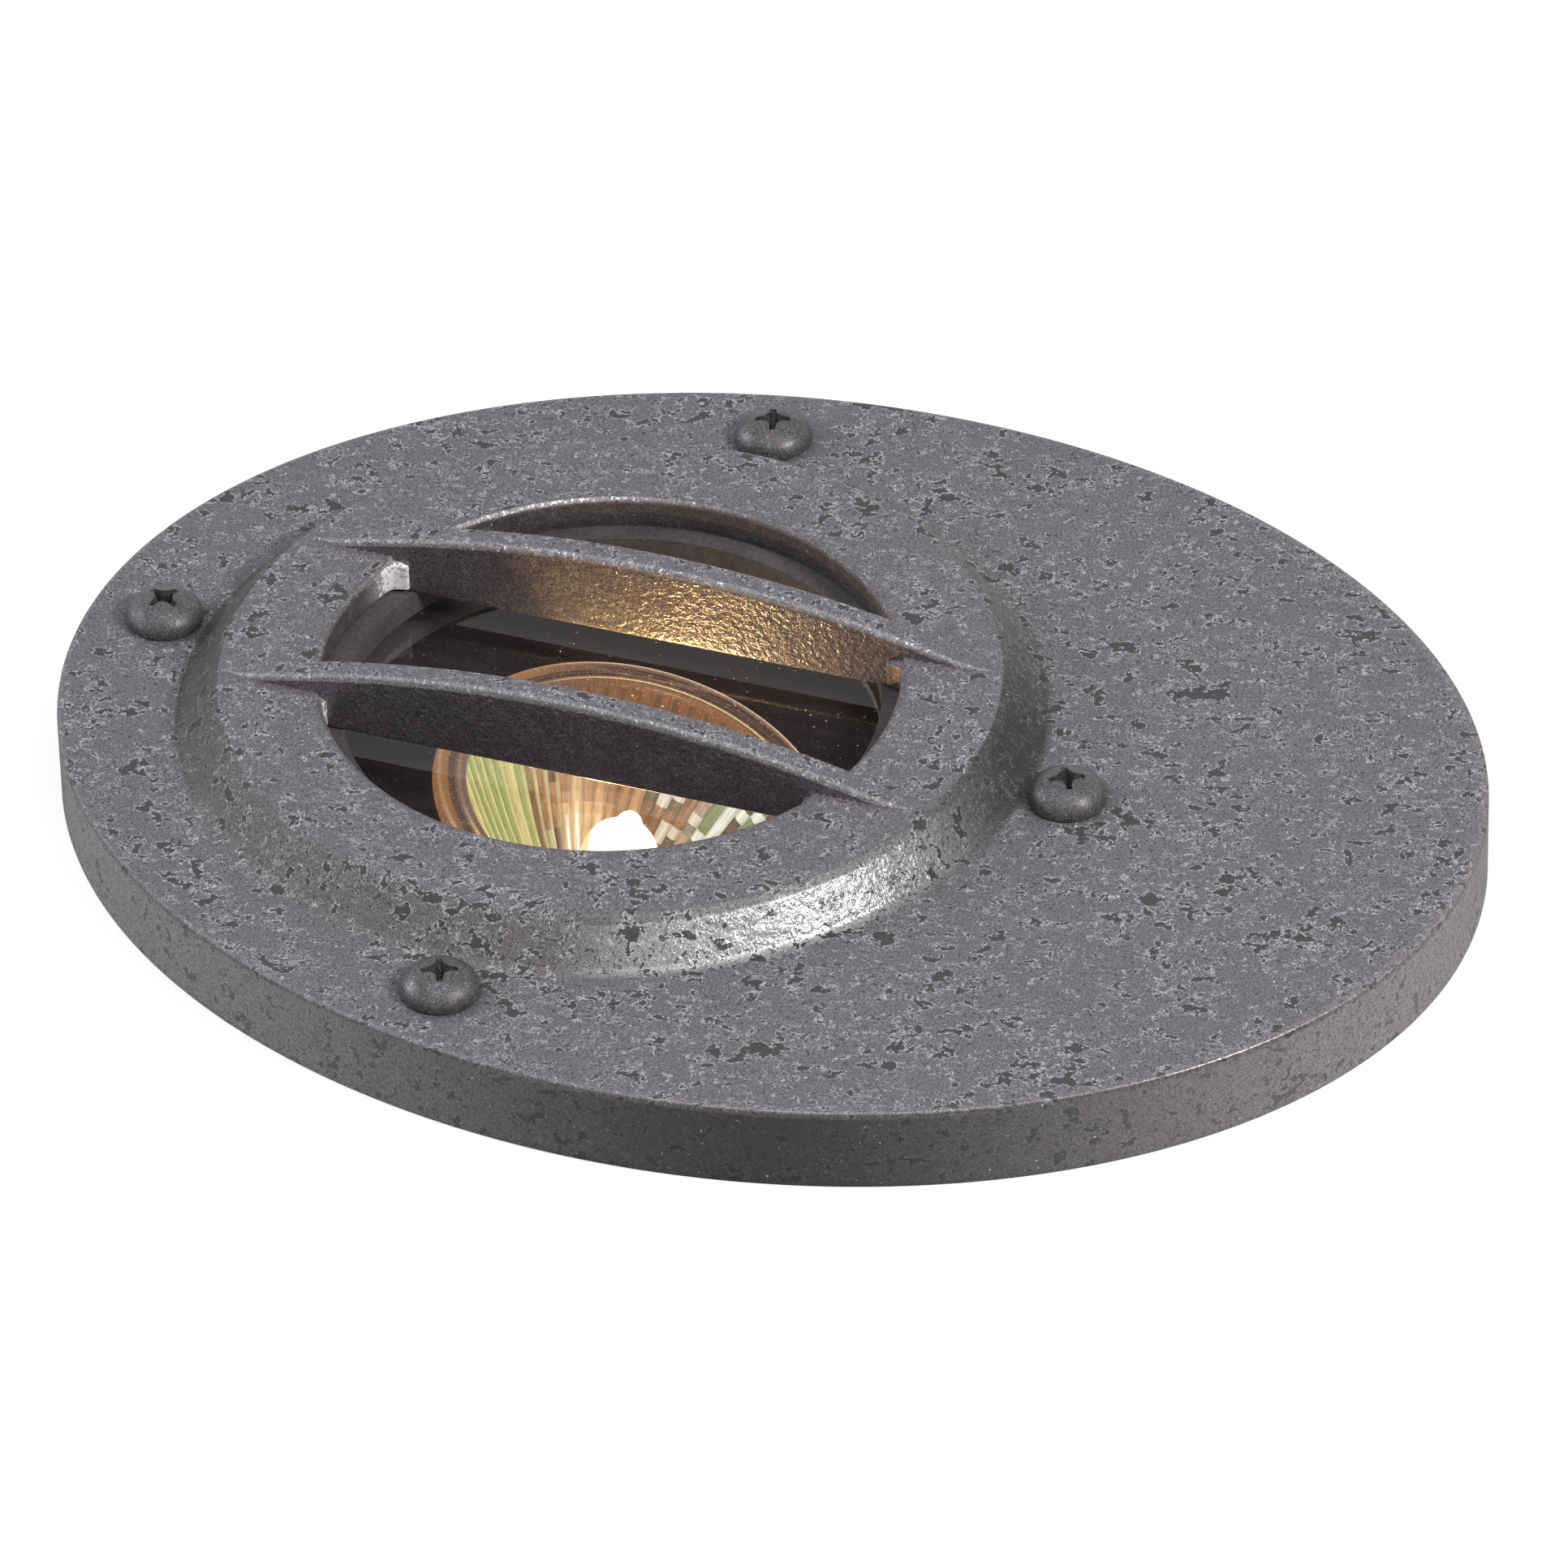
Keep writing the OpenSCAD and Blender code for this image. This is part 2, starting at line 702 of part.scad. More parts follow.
module tilt_screws() {
    shoulder_l = sheet_t + 2 * part_gap;
    color("#b9b9b6") lean_lamp() for (turn = [0, 180])
        rotate([0, 0, turn]) rotate([-90, 0, 0]) union() {
            translate([0, 0, tilt_tip_y]) cylinder(r = tilt_thread_d / 2, h = pad_y - tilt_tip_y);
            translate([0, 0, pad_y]) cylinder(r = shoulder_d / 2, h = shoulder_l);
            translate([0, 0, pad_y + shoulder_l]) cross_head(tilt_head_d, tilt_head_h, retainer_turn);
        }
}

// The glass reflector: a flat rim, a bowl and a neck
module lamp_reflector() {
    step_count = 2 * arc_count;
    shoulder_z = lamp_base_z + neck_h;
    floor_z = shoulder_z + reflector_t;
    inner_neck_r = neck_r - reflector_t;
    outside = [
        for (i = [0:step_count])
            let (t = i / step_count)
            [bowl_r(neck_r, band_inner_r - band_gap, t), shoulder_z + (band_top_z - shoulder_z) * t]
    ];
    inside = [
        for (i = [step_count:-1:0])
            let (t = i / step_count)
            [bowl_r(inner_neck_r, front_r, t), floor_z + (rim_z - floor_z) * t]
    ];
    color("#c9a36a", 0.6) lean_lamp() rotate_extrude() polygon(concat(
        [[inner_neck_r, lamp_base_z], [neck_r, lamp_base_z]],
        outside,
        [[lamp_r, band_top_z], [lamp_r, rim_z]],
        inside
    ));
}

module lamp_capsule() {
    dome_z = cement_top_z + capsule_h - capsule_r;
    color("#f4f2e6", 0.5) lean_lamp() rotate_extrude() polygon(concat(
        [[capsule_r - capsule_wall, cement_top_z], [capsule_r, cement_top_z]],
        arc_points(0, dome_z, capsule_r, 0, 90),
        arc_points(0, dome_z, capsule_r - capsule_wall, 90, 0)
    ));
}

// The coiled filament is drawn as a rod on a stem
module lamp_filament() {
    color("#ffd9a0") lean_lamp() union() {
        translate([0, 0, filament_z - filament_h]) cylinder(r = filament_r, h = filament_h);
        translate([0, 0, cement_top_z])
            cylinder(r = stem_r, h = filament_z - filament_h - cement_top_z);
    }
}

// Cement that holds the capsule and the pins in the reflector's neck
module lamp_base() {
    color("#e9e4d6") lean_lamp() difference() {
        translate([0, 0, lamp_base_z])
            cylinder(r = neck_r - reflector_t - thread_gap, h = cement_top_z - lamp_base_z);
        for (side = [-1, 1])
            translate([0, side * pin_pitch / 2, lamp_base_z - over])
                cylinder(r = pin_d / 2 + thread_gap, h = over + pin_bite);
    }
}

module lamp_pins() {
    color("#c8c8c8") lean_lamp() for (side = [-1, 1])
        translate([0, side * pin_pitch / 2, lamp_base_z - pin_length])
            cylinder(r = pin_d / 2, h = pin_length + pin_bite);
}

module lamp_socket() {
    round_r = 2.4;
    color("#e4ded0") lean_lamp() difference() {
        translate([0, 0, socket_under_z]) linear_extrude(socket_h) union() {
            square([socket_w, socket_l - 2 * round_r], center = true);
            square([socket_w - 2 * round_r, socket_l], center = true);
            for (x = [-1, 1], y = [-1, 1])
                translate([x * (socket_w / 2 - round_r), y * (socket_l / 2 - round_r)])
                    circle(r = round_r);
        }
        for (side = [-1, 1])
            translate([0, side * pin_pitch / 2, socket_top_z - pin_length])
                cylinder(r = pin_d / 2 + 2 * thread_gap, h = pin_length + over);
    }
}

// One sleeved lead, swept along a cubic curve from the socket to the terminal block
module lead(side) {
    ring_count = 24;
    side_count = 8;
    start = leaned([0, side * pin_pitch / 2, socket_under_z]);
    drop = leaned([0, side * pin_pitch / 2, socket_under_z - lead_bend]);
    finish = [block_x - block_w / 2, side * way_pitch / 2, yoke_top_z + way_z];
    route = [start, drop, finish - [lead_bend, 0, 0], finish];
    rings = [
        for (i = [0:ring_count - 1])
            let (
                t = i / (ring_count - 1),
                along = curve_slope(route, t) / norm(curve_slope(route, t)),
                out = cross(along, [0, 1, 0]) / norm(cross(along, [0, 1, 0])),
                across = cross(along, out)
            )
            for (k = [0:side_count - 1])
                let (a = 360 * k / side_count)
                curve_point(route, t) + lead_r * (cos(a) * out + sin(a) * across)
    ];
    last = (ring_count - 1) * side_count;
    walls = [
        for (i = [0:ring_count - 2], k = [0:side_count - 1])
            let (
                a = i * side_count + k,
                b = i * side_count + (k + 1) % side_count
            )
            [a, a + side_count, b + side_count, b]
    ];
    ends = [[for (k = [0:side_count - 1]) k], [for (k = [side_count - 1:-1:0]) last + k]];
    polyhedron(points = rings, faces = concat(walls, ends));
}

module socket_leads() {
    color("#e8e4da") for (side = [-1, 1]) lead(side);
}

well_sleeve();
well_base();
mounting_flange();
cover_inserts();
swivel_insert();
swivel_bolt();
spring_washer();
gland_body();
gland_washer();
gland_locknut();
gland_seal();
gland_nut();
cover_plate();
cover_gasket();
lens_glass();
lens_gasket();
lens_retainer();
retainer_screws();
cover_screws();
swivel_yoke();
terminal_block();
terminal_screws();
block_screw();
lamp_band();
tilt_screws();
lamp_reflector();
lamp_capsule();
lamp_filament();
lamp_base();
lamp_pins();
lamp_socket();
socket_leads();
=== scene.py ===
import json
import math
from functools import partial

import bmesh
import bpy
import numpy as np
from mathutils import Matrix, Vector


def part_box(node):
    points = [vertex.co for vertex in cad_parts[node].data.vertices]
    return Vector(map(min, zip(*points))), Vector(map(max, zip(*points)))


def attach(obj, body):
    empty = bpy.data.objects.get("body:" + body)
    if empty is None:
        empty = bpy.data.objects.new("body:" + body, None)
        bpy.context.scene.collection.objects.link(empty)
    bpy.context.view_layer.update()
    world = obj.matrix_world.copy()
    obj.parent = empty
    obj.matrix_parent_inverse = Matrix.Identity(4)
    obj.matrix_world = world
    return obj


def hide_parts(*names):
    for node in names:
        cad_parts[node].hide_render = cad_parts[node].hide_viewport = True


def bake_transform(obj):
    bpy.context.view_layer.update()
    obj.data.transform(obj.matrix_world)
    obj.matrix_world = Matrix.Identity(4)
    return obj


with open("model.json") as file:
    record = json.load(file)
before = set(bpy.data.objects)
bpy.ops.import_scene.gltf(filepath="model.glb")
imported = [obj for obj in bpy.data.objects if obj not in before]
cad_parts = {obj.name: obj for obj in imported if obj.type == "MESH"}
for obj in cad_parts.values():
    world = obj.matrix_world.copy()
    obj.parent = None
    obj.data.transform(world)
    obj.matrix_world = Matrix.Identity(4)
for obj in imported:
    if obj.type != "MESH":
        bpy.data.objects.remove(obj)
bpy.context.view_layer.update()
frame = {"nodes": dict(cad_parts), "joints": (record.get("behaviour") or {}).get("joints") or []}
mm = 0.001
print("frame loaded")

# Places that come from the frame
coverLow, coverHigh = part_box("cover_plate")
sealLow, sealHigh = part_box("lens_gasket")
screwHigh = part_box("cover_screws")[1]
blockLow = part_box("terminal_block")[0]
pivotZ = next(joint for joint in frame["joints"] if joint["name"] == "lamp_tilt")["pos_m"][2]
groundZ = coverLow.z
lampLean = math.radians(15)


# Lengths given in millimetres, in metres
def metres(lengths):
    return {key: value * mm for key, value in lengths.items()}


# A grid point at each radius, angle and height
def polar(radius, angle, height):
    return np.stack([radius * np.cos(angle), radius * np.sin(angle), height + 0 * angle], -1)


# Equal steps round a full turn
def fullTurn(count):
    return np.linspace(0, 2 * math.pi, count, endpoint=False)


# The equal steps strictly between two values
def between(start, end, count):
    return np.linspace(start, end, count + 2)[1:-1]


# A share that rises from 0 to 1 between two values, along an S curve
def rise(value, low, high):
    share = np.clip((value - low) / (high - low), 0, 1)
    return share * share * (3 - 2 * share)


# A share of 1 at a place that falls away on both sides, as a bell curve
def bell(value, at, wide):
    return np.exp(-((value - at) / wide) ** 2)


# A random number from 0 to 1 for each whole-number corner of a cubic lattice
def latticeValue(corner, seed):
    key = corner.astype(np.uint64) * np.array([73856093, 19349663, 83492791], np.uint64)
    mixed = key[..., 0] ^ key[..., 1] ^ key[..., 2] ^ np.uint64(seed * 7919 + 17)
    mixed = (mixed ^ (mixed >> np.uint64(13))) * np.uint64(1274126177)
    mixed = (mixed ^ (mixed >> np.uint64(16))) & np.uint64(0xFFFFFF)
    return mixed.astype(float) / 0xFFFFFF


# A smooth random field from -1 to 1: lattice numbers blended along each axis with an S curve
def smoothNoise(points, cell, seed):
    place = points / cell + 1000
    base = np.floor(place).astype(np.int64)
    share = rise(place - base, 0, 1)
    total = np.zeros(points.shape[:-1])
    for corner in np.ndindex(2, 2, 2):
        weight = np.prod(np.where(np.array(corner), share, 1 - share), axis=-1)
        total += weight * latticeValue(base + np.array(corner), seed)
    return 2 * total - 1


# The unit normal at each point of a grid: the cross product of the steps along its rows and columns
def gridNormals(points, closeU, closeV):
    # From the point before to the point after, along one way of the grid
    def step(axis, closed):
        if closed:
            return np.roll(points, -1, axis) - np.roll(points, 1, axis)
        return np.gradient(points, axis=axis)
    normal = np.cross(step(0, closeU), step(1, closeV))
    return normal / np.maximum(np.linalg.norm(normal, axis=-1, keepdims=True), 1e-12)


# Quads between the neighbours of a grid that may close on itself along either way
def gridQuads(rows, columns, closeU, closeV):
    index = np.arange(rows * columns).reshape(rows, columns)
    u, v = np.ix_(range(rows if closeU else rows - 1), range(columns if closeV else columns - 1))
    nextU, nextV = (u + 1) % rows, (v + 1) % columns
    quads = np.stack([index[u, v], index[nextU, v], index[nextU, nextV], index[u, nextV]], -1)
    return quads.reshape(-1, 4)


# One object from one or more grids of points, with values or colours at its points
def gridPiece(name, grids, material, smoothAngle, attributes=None):
    points, quads, first = [], [], 0
    for grid, closeU, closeV in grids:
        points.append(grid.reshape(-1, 3))
        quads.append(gridQuads(*grid.shape[:2], closeU, closeV) + first)
        first += len(points[-1])
    mesh = bpy.data.meshes.new(name)
    mesh.from_pydata(np.concatenate(points), [], np.concatenate(quads))
    for label, values in (attributes or {}).items():
        kind, field = "FLOAT", "value"
        if values.ndim == 3:
            kind, field = "FLOAT_COLOR", "color"
            values = np.concatenate([values, np.ones_like(values[..., :1])], -1)
        layer = mesh.attributes.new(label, kind, "POINT")
        layer.data.foreach_set(field, values.astype(np.float32).ravel())
    return meshPiece(name, mesh, material, smoothAngle)


# One object from a mesh: doubles merged, faces turned outwards, edges sharper than an angle kept
def meshPiece(name, mesh, material, smoothAngle):
    work = bmesh.new()
    work.from_mesh(mesh)
    bmesh.ops.remove_doubles(work, verts=work.verts, dist=1e-7)
    bmesh.ops.dissolve_degenerate(work, edges=work.edges, dist=1e-8)
    bmesh.ops.recalc_face_normals(work, faces=work.faces)
    work.to_mesh(mesh)
    work.free()
    mesh.shade_smooth()
    mesh.set_sharp_from_angle(angle=math.radians(smoothAngle))
    mesh.materials.append(material)
    piece = bpy.data.objects.new(name, mesh)
    bpy.context.scene.collection.objects.link(piece)
    return piece


# A profile of radius and height turned about the Z axis
def turned(profile, count):
    return polar(profile[:, 0, None], fullTurn(count), profile[:, 1, None])


# Points on an arc in the plane of a profile, from one angle to another in degrees
def arc(x, z, radius, start, end, count):
    angle = np.radians(np.linspace(start, end, count))
    return np.stack([x + radius * np.cos(angle), z + radius * np.sin(angle)], -1)


# A tube: rings of a small circle carried along a path, each ring square to it
def tube(path, radius, sides):
    along = np.gradient(path, axis=0)
    along /= np.linalg.norm(along, axis=1, keepdims=True)
    out = np.cross(along, [0.0, 1.0, 0.0])
    out /= np.maximum(np.linalg.norm(out, axis=1, keepdims=True), 1e-9)
    across = np.cross(along, out)
    angle = fullTurn(sides)[:, None]
    rings = path[:, None] + radius * (np.cos(angle) * out[:, None] + np.sin(angle) * across[:, None])
    caps = [np.repeat(path[[i], None], sides, axis=1) for i in (0, -1)]
    return np.concatenate([caps[0], rings, caps[1]])


# A point of the lamp, given along its own axis from the tilt axis, leaned and put in place
def toLamp(points):
    x, y, z = np.moveaxis(points, -1, 0)
    cos, sin = math.cos(lampLean), math.sin(lampLean)
    return np.stack([x * cos + z * sin, y, pivotZ - x * sin + z * cos], -1)


# Material tools, which work on the material or world begun last

making = {}


# An empty node tree in a material or world, to which the next nodes are added
def begin(owner):
    owner.use_nodes = True
    owner.node_tree.nodes.clear()
    making["owner"] = owner


# A new material with an empty node tree
def newFinish(name):
    begin(bpy.data.materials.new(name))


# A node with its inputs and settings, given back as one of its outputs
def add(kind, inputs=None, output=0, **settings):
    tree = making["owner"].node_tree
    made = tree.nodes.new("ShaderNode" + kind)
    for key, value in settings.items():
        setattr(made, key, value)
    for key, value in (inputs or {}).items():
        if isinstance(value, bpy.types.NodeSocket):
            tree.links.new(value, made.inputs[key])
        else:
            made.inputs[key].default_value = value
    return made.outputs[output] if made.outputs else None


# One step of arithmetic on sockets or numbers, and its four usual kinds
def calc(operation, a, b=0.0):
    return add("Math", {0: a, 1: b}, operation=operation)


plus, minus, times, larger = (partial(calc, name) for name in ("ADD", "SUBTRACT", "MULTIPLY", "MAXIMUM"))


# Places on the object in metres, stretched by a scale along each axis
def objectPlace(scale=(1, 1, 1)):
    return add("Mapping", {"Vector": add("TexCoord", output="Object"), "Scale": scale})


# A noise field about 0.5: octaves of smooth random values, so many to the metre
def cloud(place, scale, detail=3.0, rough=0.55, bend=0.0):
    inputs = {"Vector": place, "Scale": scale, "Detail": detail, "Roughness": rough, "Distortion": bend}
    return add("TexNoise", inputs, output="Fac")


# Distance from the nearest of many scattered points
def cells(place, scale):
    return add("TexVoronoi", {"Vector": place, "Scale": scale}, output="Distance")


# A random value for each of those points' cells
def cellShade(place, scale):
    colour = add("TexVoronoi", {"Vector": place, "Scale": scale}, output="Color")
    return add("SeparateColor", {"Color": colour})


# A value moved from one range to another, held at its ends
def remap(value, low, high, toLow=0.0, toHigh=1.0):
    inputs = {"Value": value, "From Min": low, "From Max": high, "To Min": toLow, "To Max": toHigh}
    return add("MapRange", inputs, interpolation_type="SMOOTHSTEP")


# A linear colour, opaque
def rgb(red, green, blue):
    return (red, green, blue, 1.0)


# The linear colour of 0 to 255 screen values
def screen(*values):
    shares = [value / 255 for value in values]
    return rgb(*(v / 12.92 if v <= 0.04045 else ((v + 0.055) / 1.055) ** 2.4 for v in shares))


# Two colours mixed by a share. A colour is a socket, a linear colour or three screen values
def blendColour(share, a, b):
    a, b = (screen(*v) if isinstance(v, tuple) and len(v) == 3 else v for v in (a, b))
    return add("Mix", {0: share, 6: a, 7: b}, data_type="RGBA", output=2)


# A colour with others laid over it by their shares, in turn
def layColours(colour, *layers):
    for share, over in layers:
        colour = blendColour(share, colour, over)
    return colour


# Two shaders mixed by a share of the second
def blendShader(share, a, b):
    return add("MixShader", {0: share, 1: a, 2: b})


# A normal tilted by the slope of a height field, whose full height is a distance in metres
def bump(height, distance, strength=1.0):
    return add("Bump", {"Height": height, "Distance": distance, "Strength": strength})


# The principled shader, its inputs named with underscores for spaces
def surface(**inputs):
    named = {key.replace("_", " "): value for key, value in inputs.items()}
    return add("BsdfPrincipled", named)


# The shader led to the material's output
def finishWith(shader):
    add("OutputMaterial", {"Surface": shader})
    return making["owner"]


# A value or colour kept at the piece's points
def attribute(name, output="Fac"):
    return add("Attribute", attribute_name=name, output=output)


# Cover casting

casting = metres({
    "skirt": 3.0, "deck": 4.0, "edgeRound": 0.35, "footRound": 0.3, "height": 11.2,
    "bossBase": 52.4, "bossTop": 48.0, "bossHeight": 5.7, "bossRound": 2.6, "bossFillet": 1.4,
    "aperture": 35.5, "apertureRound": 0.55, "cornerRound": 1.8, "ringReach": 48.5,
    "deckRelief": 0.015, "slopeRelief": 0.055, "wallRelief": 0.02, "reliefCell": 0.95,
    "seatBevel": 0.2, "pocketBevel": 0.1, "ringBevel": 0.3, "skirtBevel": 0.8, "skirtEnd": 3.0,
}) | {"columns": 600}
screwShape = metres({
    "head": 9.6, "height": 3.5, "edge": 0.5, "shank": 4.8, "length": 16.0,
    "threadDepth": 0.5, "threadPitch": 1.3, "chamfer": 1.2,
    "wingReach": 2.35, "wingHalf": 0.42, "lobe": 1.3, "recessDepth": 2.5,
}) | {
    "turns": (28, 18, 62, 22),
    "recessRows": ((-0.45, 0), (-0.45, 1.16), (0, 1), (0.35, 0.84), (0.7, 0.66), (1, 0.46), (1.12, 0)),
}
rib = metres({
    "pitch": 29.0, "thick": 3.4, "rise": 6.6, "reach": 44.5, "round": 0.4, "fillet": 0.9,
    "relief": 0.018, "tipLength": 7.0, "least": 0.02,
}) | {"stations": 260, "sideSteps": 14}
deckZ = groundZ + casting["height"]
bossZ = deckZ + casting["bossHeight"]
seatZ = sealHigh.z
seatUnderZ = sealLow.z
deckUnderZ = deckZ - casting["deck"]
ovalA = (coverHigh.x - coverLow.x) / 2
ovalB = (coverHigh.y - coverLow.y) / 2
ovalX = (coverHigh.x + coverLow.x) / 2
screwCircle = screwHigh.x - screwShape["head"] / 2


# Distance from the lamp axis to the oval outline, drawn in by an inset, in each direction
def ovalReach(angle, inset):
    a, b = ovalA - inset, ovalB - inset
    first = np.cos(angle) ** 2 / a ** 2 + np.sin(angle) ** 2 / b ** 2
    half = ovalX * np.cos(angle) / a ** 2
    rest = ovalX ** 2 / a ** 2 - 1
    return (half + np.sqrt(half ** 2 - first * rest)) / first


# Height of a rib's arch above the boss at a place along it
def archHeight(x):
    radius = (rib["reach"] ** 2 + rib["rise"] ** 2) / (2 * rib["rise"])
    return rib["rise"] - radius + np.sqrt(np.maximum(radius ** 2 - x ** 2, 0))


# Half the thickness of a rib: full over its length and drawn to a point at its tips
def ribHalf(x):
    share = np.clip((rib["reach"] - np.abs(x)) / rib["tipLength"], 0, 1)
    return rib["thick"] / 2 * np.sqrt(1 - (1 - share) ** 2)


# How far the boss's top rises beside the ribs: a hollow fillet that fades towards their tips
def ribFillet(x, y):
    tall = np.maximum(archHeight(x), 0)
    radius = np.minimum(rib["fillet"], 1.1 * tall)
    away = np.abs(np.abs(y) - rib["pitch"] / 2) - ribHalf(x)
    inside = np.clip(radius - away, 0, None)
    curve = radius - np.sqrt(np.maximum(radius ** 2 - np.minimum(inside, radius) ** 2, 0))
    return np.minimum(curve, 0.8 * tall) * (np.abs(x) < rib["reach"])


# What the skin is like in each stretch: shares of wrinkled slope, dark wall, plain side, wear and painted
# highlight, gloss and painted shade
skinLabels = ("slope", "wall", "side", "wearAndHighlight", "gloss", "paintedShade")
skins = {
    "flat": (0, 0, 0, 0, 0, 0), "slope": (1, 0, 0, 0, 0.85, 1), "shoulder": (0.6, 0, 0, 0, 0.35, 0.9),
    "foot": (0.8, 0, 0, 0, 1, 1), "wall": (0.6, 1, 0, 0, 0.3, 0.75), "side": (0, 0, 1, 0, 0, 1),
    "rim": (0, 0.25, 0.3, 0, 0.8, 0), "lip": (0.4, 0.4, 0, 0, 0.3, 0.3), "wearAndHighlight": (0, 0, 0, 0.35, 0.1, 0),
    # The lamp-lit edge is the rib's lower front corner, painted pale as a highlight from the lamp
    "face": (1, 1, 0, 0, 0.95, 0), "lampLitEdge": (0.2, 0.2, 0, 0.9, 0.9, 0),
}
# Painted shade and painted highlights about the lamp's axis: the degrees at which each is, its width in
# degrees and its share. Gloss fades between two cosines from its place, down to a least share
paintedLightAndGloss = {
    "paintedShade": (6, 28, 1), "left": (184, 30, 0.85), "side": (-57, 29, 0.86), "end": (192, 12, 0.55),
    "glint": (183, 40, 1), "backGlint": (159, 6, 1), "lip": (125, 32, 0.7), "glossAt": math.radians(-40),
    "glossLow": 0.80, "glossHigh": 0.95, "glossLeast": 0.12, "glintDeep": 4.4 * mm,
    # The painted shadow round the screw heads: where it begins, how wide it fades and its share
    "screwShadeFrom": 4.4 * mm, "screwShadeWide": 1.1 * mm, "screwShadeShare": 0.55,
}


# The section of the casting from the skirt's foot over the edge, deck, boss and aperture, back under
# the deck. Each row is (round radius, inset in the oval, share of the oval, height, relief) and skin
def castingSection():
    s = casting
    deckRelief, slopeRelief, wallRelief = s["deckRelief"], s["slopeRelief"], s["wallRelief"]
    lipX, lipZ = s["aperture"] + s["apertureRound"], bossZ - s["apertureRound"]
    slope = math.degrees(math.atan2(s["bossHeight"], s["bossBase"] - s["bossTop"]))
    topRun = s["bossRound"] * math.tan(math.radians(slope / 2))
    footRun = s["bossFillet"] * math.tan(math.radians(slope / 2))
    rows = []

    # Rows that follow the oval, drawn in by their insets
    def addOval(insets, heights, relief, skin):
        for inset, z in zip(insets, heights):
            rows.append((0, inset, 1, z, relief) + skins[skin])

    # Rows that are circles about the lamp's axis
    def addRound(points, relief, skin):
        for radius, z in points:
            rows.append((radius, 0, 0, z, relief) + skins[skin])

    addOval([s["skirt"], s["skirt"] / 2], [groundZ, groundZ], 0, "side")
    foot = np.radians(np.linspace(0, 90, 4))
    addOval(s["footRound"] * (1 - np.sin(foot)), groundZ + s["footRound"] * (1 - np.cos(foot)), 0, "side")
    wall = between(groundZ + s["footRound"], deckZ - s["edgeRound"], 14)
    addOval(0 * wall, wall, wallRelief, "side")
    edge = np.radians(np.linspace(0, 90, 7))
    edgeZ = deckZ - s["edgeRound"] * (1 - np.sin(edge))
    addOval(s["edgeRound"] * (1 - np.cos(edge)), edgeZ, 0.3 * wallRelief, "rim")
    outer = s["bossBase"] + footRun
    for share in between(1, 0, 44):
        rows.append((outer, s["edgeRound"], share, deckZ, deckRelief) + skins["flat"])
    foot = arc(outer, deckZ + s["bossFillet"], s["bossFillet"], 270, 270 - slope, 5)
    addRound(foot, 0.5 * slopeRelief, "foot")
    top = arc(s["bossTop"] - topRun, bossZ - s["bossRound"], s["bossRound"], 90 - slope, 90, 10)
    addRound(np.linspace(foot[-1], top[0], 15)[1:-1], slopeRelief, "slope")
    addRound(top[:5], slopeRelief, "shoulder")
    addRound(top[5:], 0.4 * slopeRelief, "flat")
    flat = between(top[-1, 0], lipX, 28)
    addRound(np.stack([flat, bossZ + 0 * flat], -1), deckRelief, "flat")
    lip = arc(lipX, lipZ, s["apertureRound"], 90, 180, 6)
    addRound(lip, 0.5 * wallRelief, "lip")
    wall = between(lipZ, seatZ + s["seatBevel"], 9)
    addRound(np.stack([s["aperture"] + 0 * wall, wall], -1), wallRelief, "wall")
    pocket = sealHigh.x
    corners = [
        (s["aperture"] + s["seatBevel"], seatZ), (pocket - s["pocketBevel"], seatZ),
        (pocket, seatZ - s["pocketBevel"]), (pocket, seatUnderZ),
        (s["ringReach"] - s["ringBevel"], seatUnderZ), (s["ringReach"], seatUnderZ + s["ringBevel"]),
        (s["ringReach"], deckUnderZ),
    ]
    addRound(corners, 0, "face")
    for share in between(0, 1, 4):
        rows.append((s["ringReach"], s["skirt"], share, deckUnderZ, 0) + skins["face"])
    inner = [s["skirt"] + s["skirtBevel"], s["skirt"], s["skirt"]]
    addOval(inner, [deckUnderZ, deckUnderZ - s["skirtBevel"], groundZ + s["skirtEnd"]], 0, "face")
    return np.array(rows)


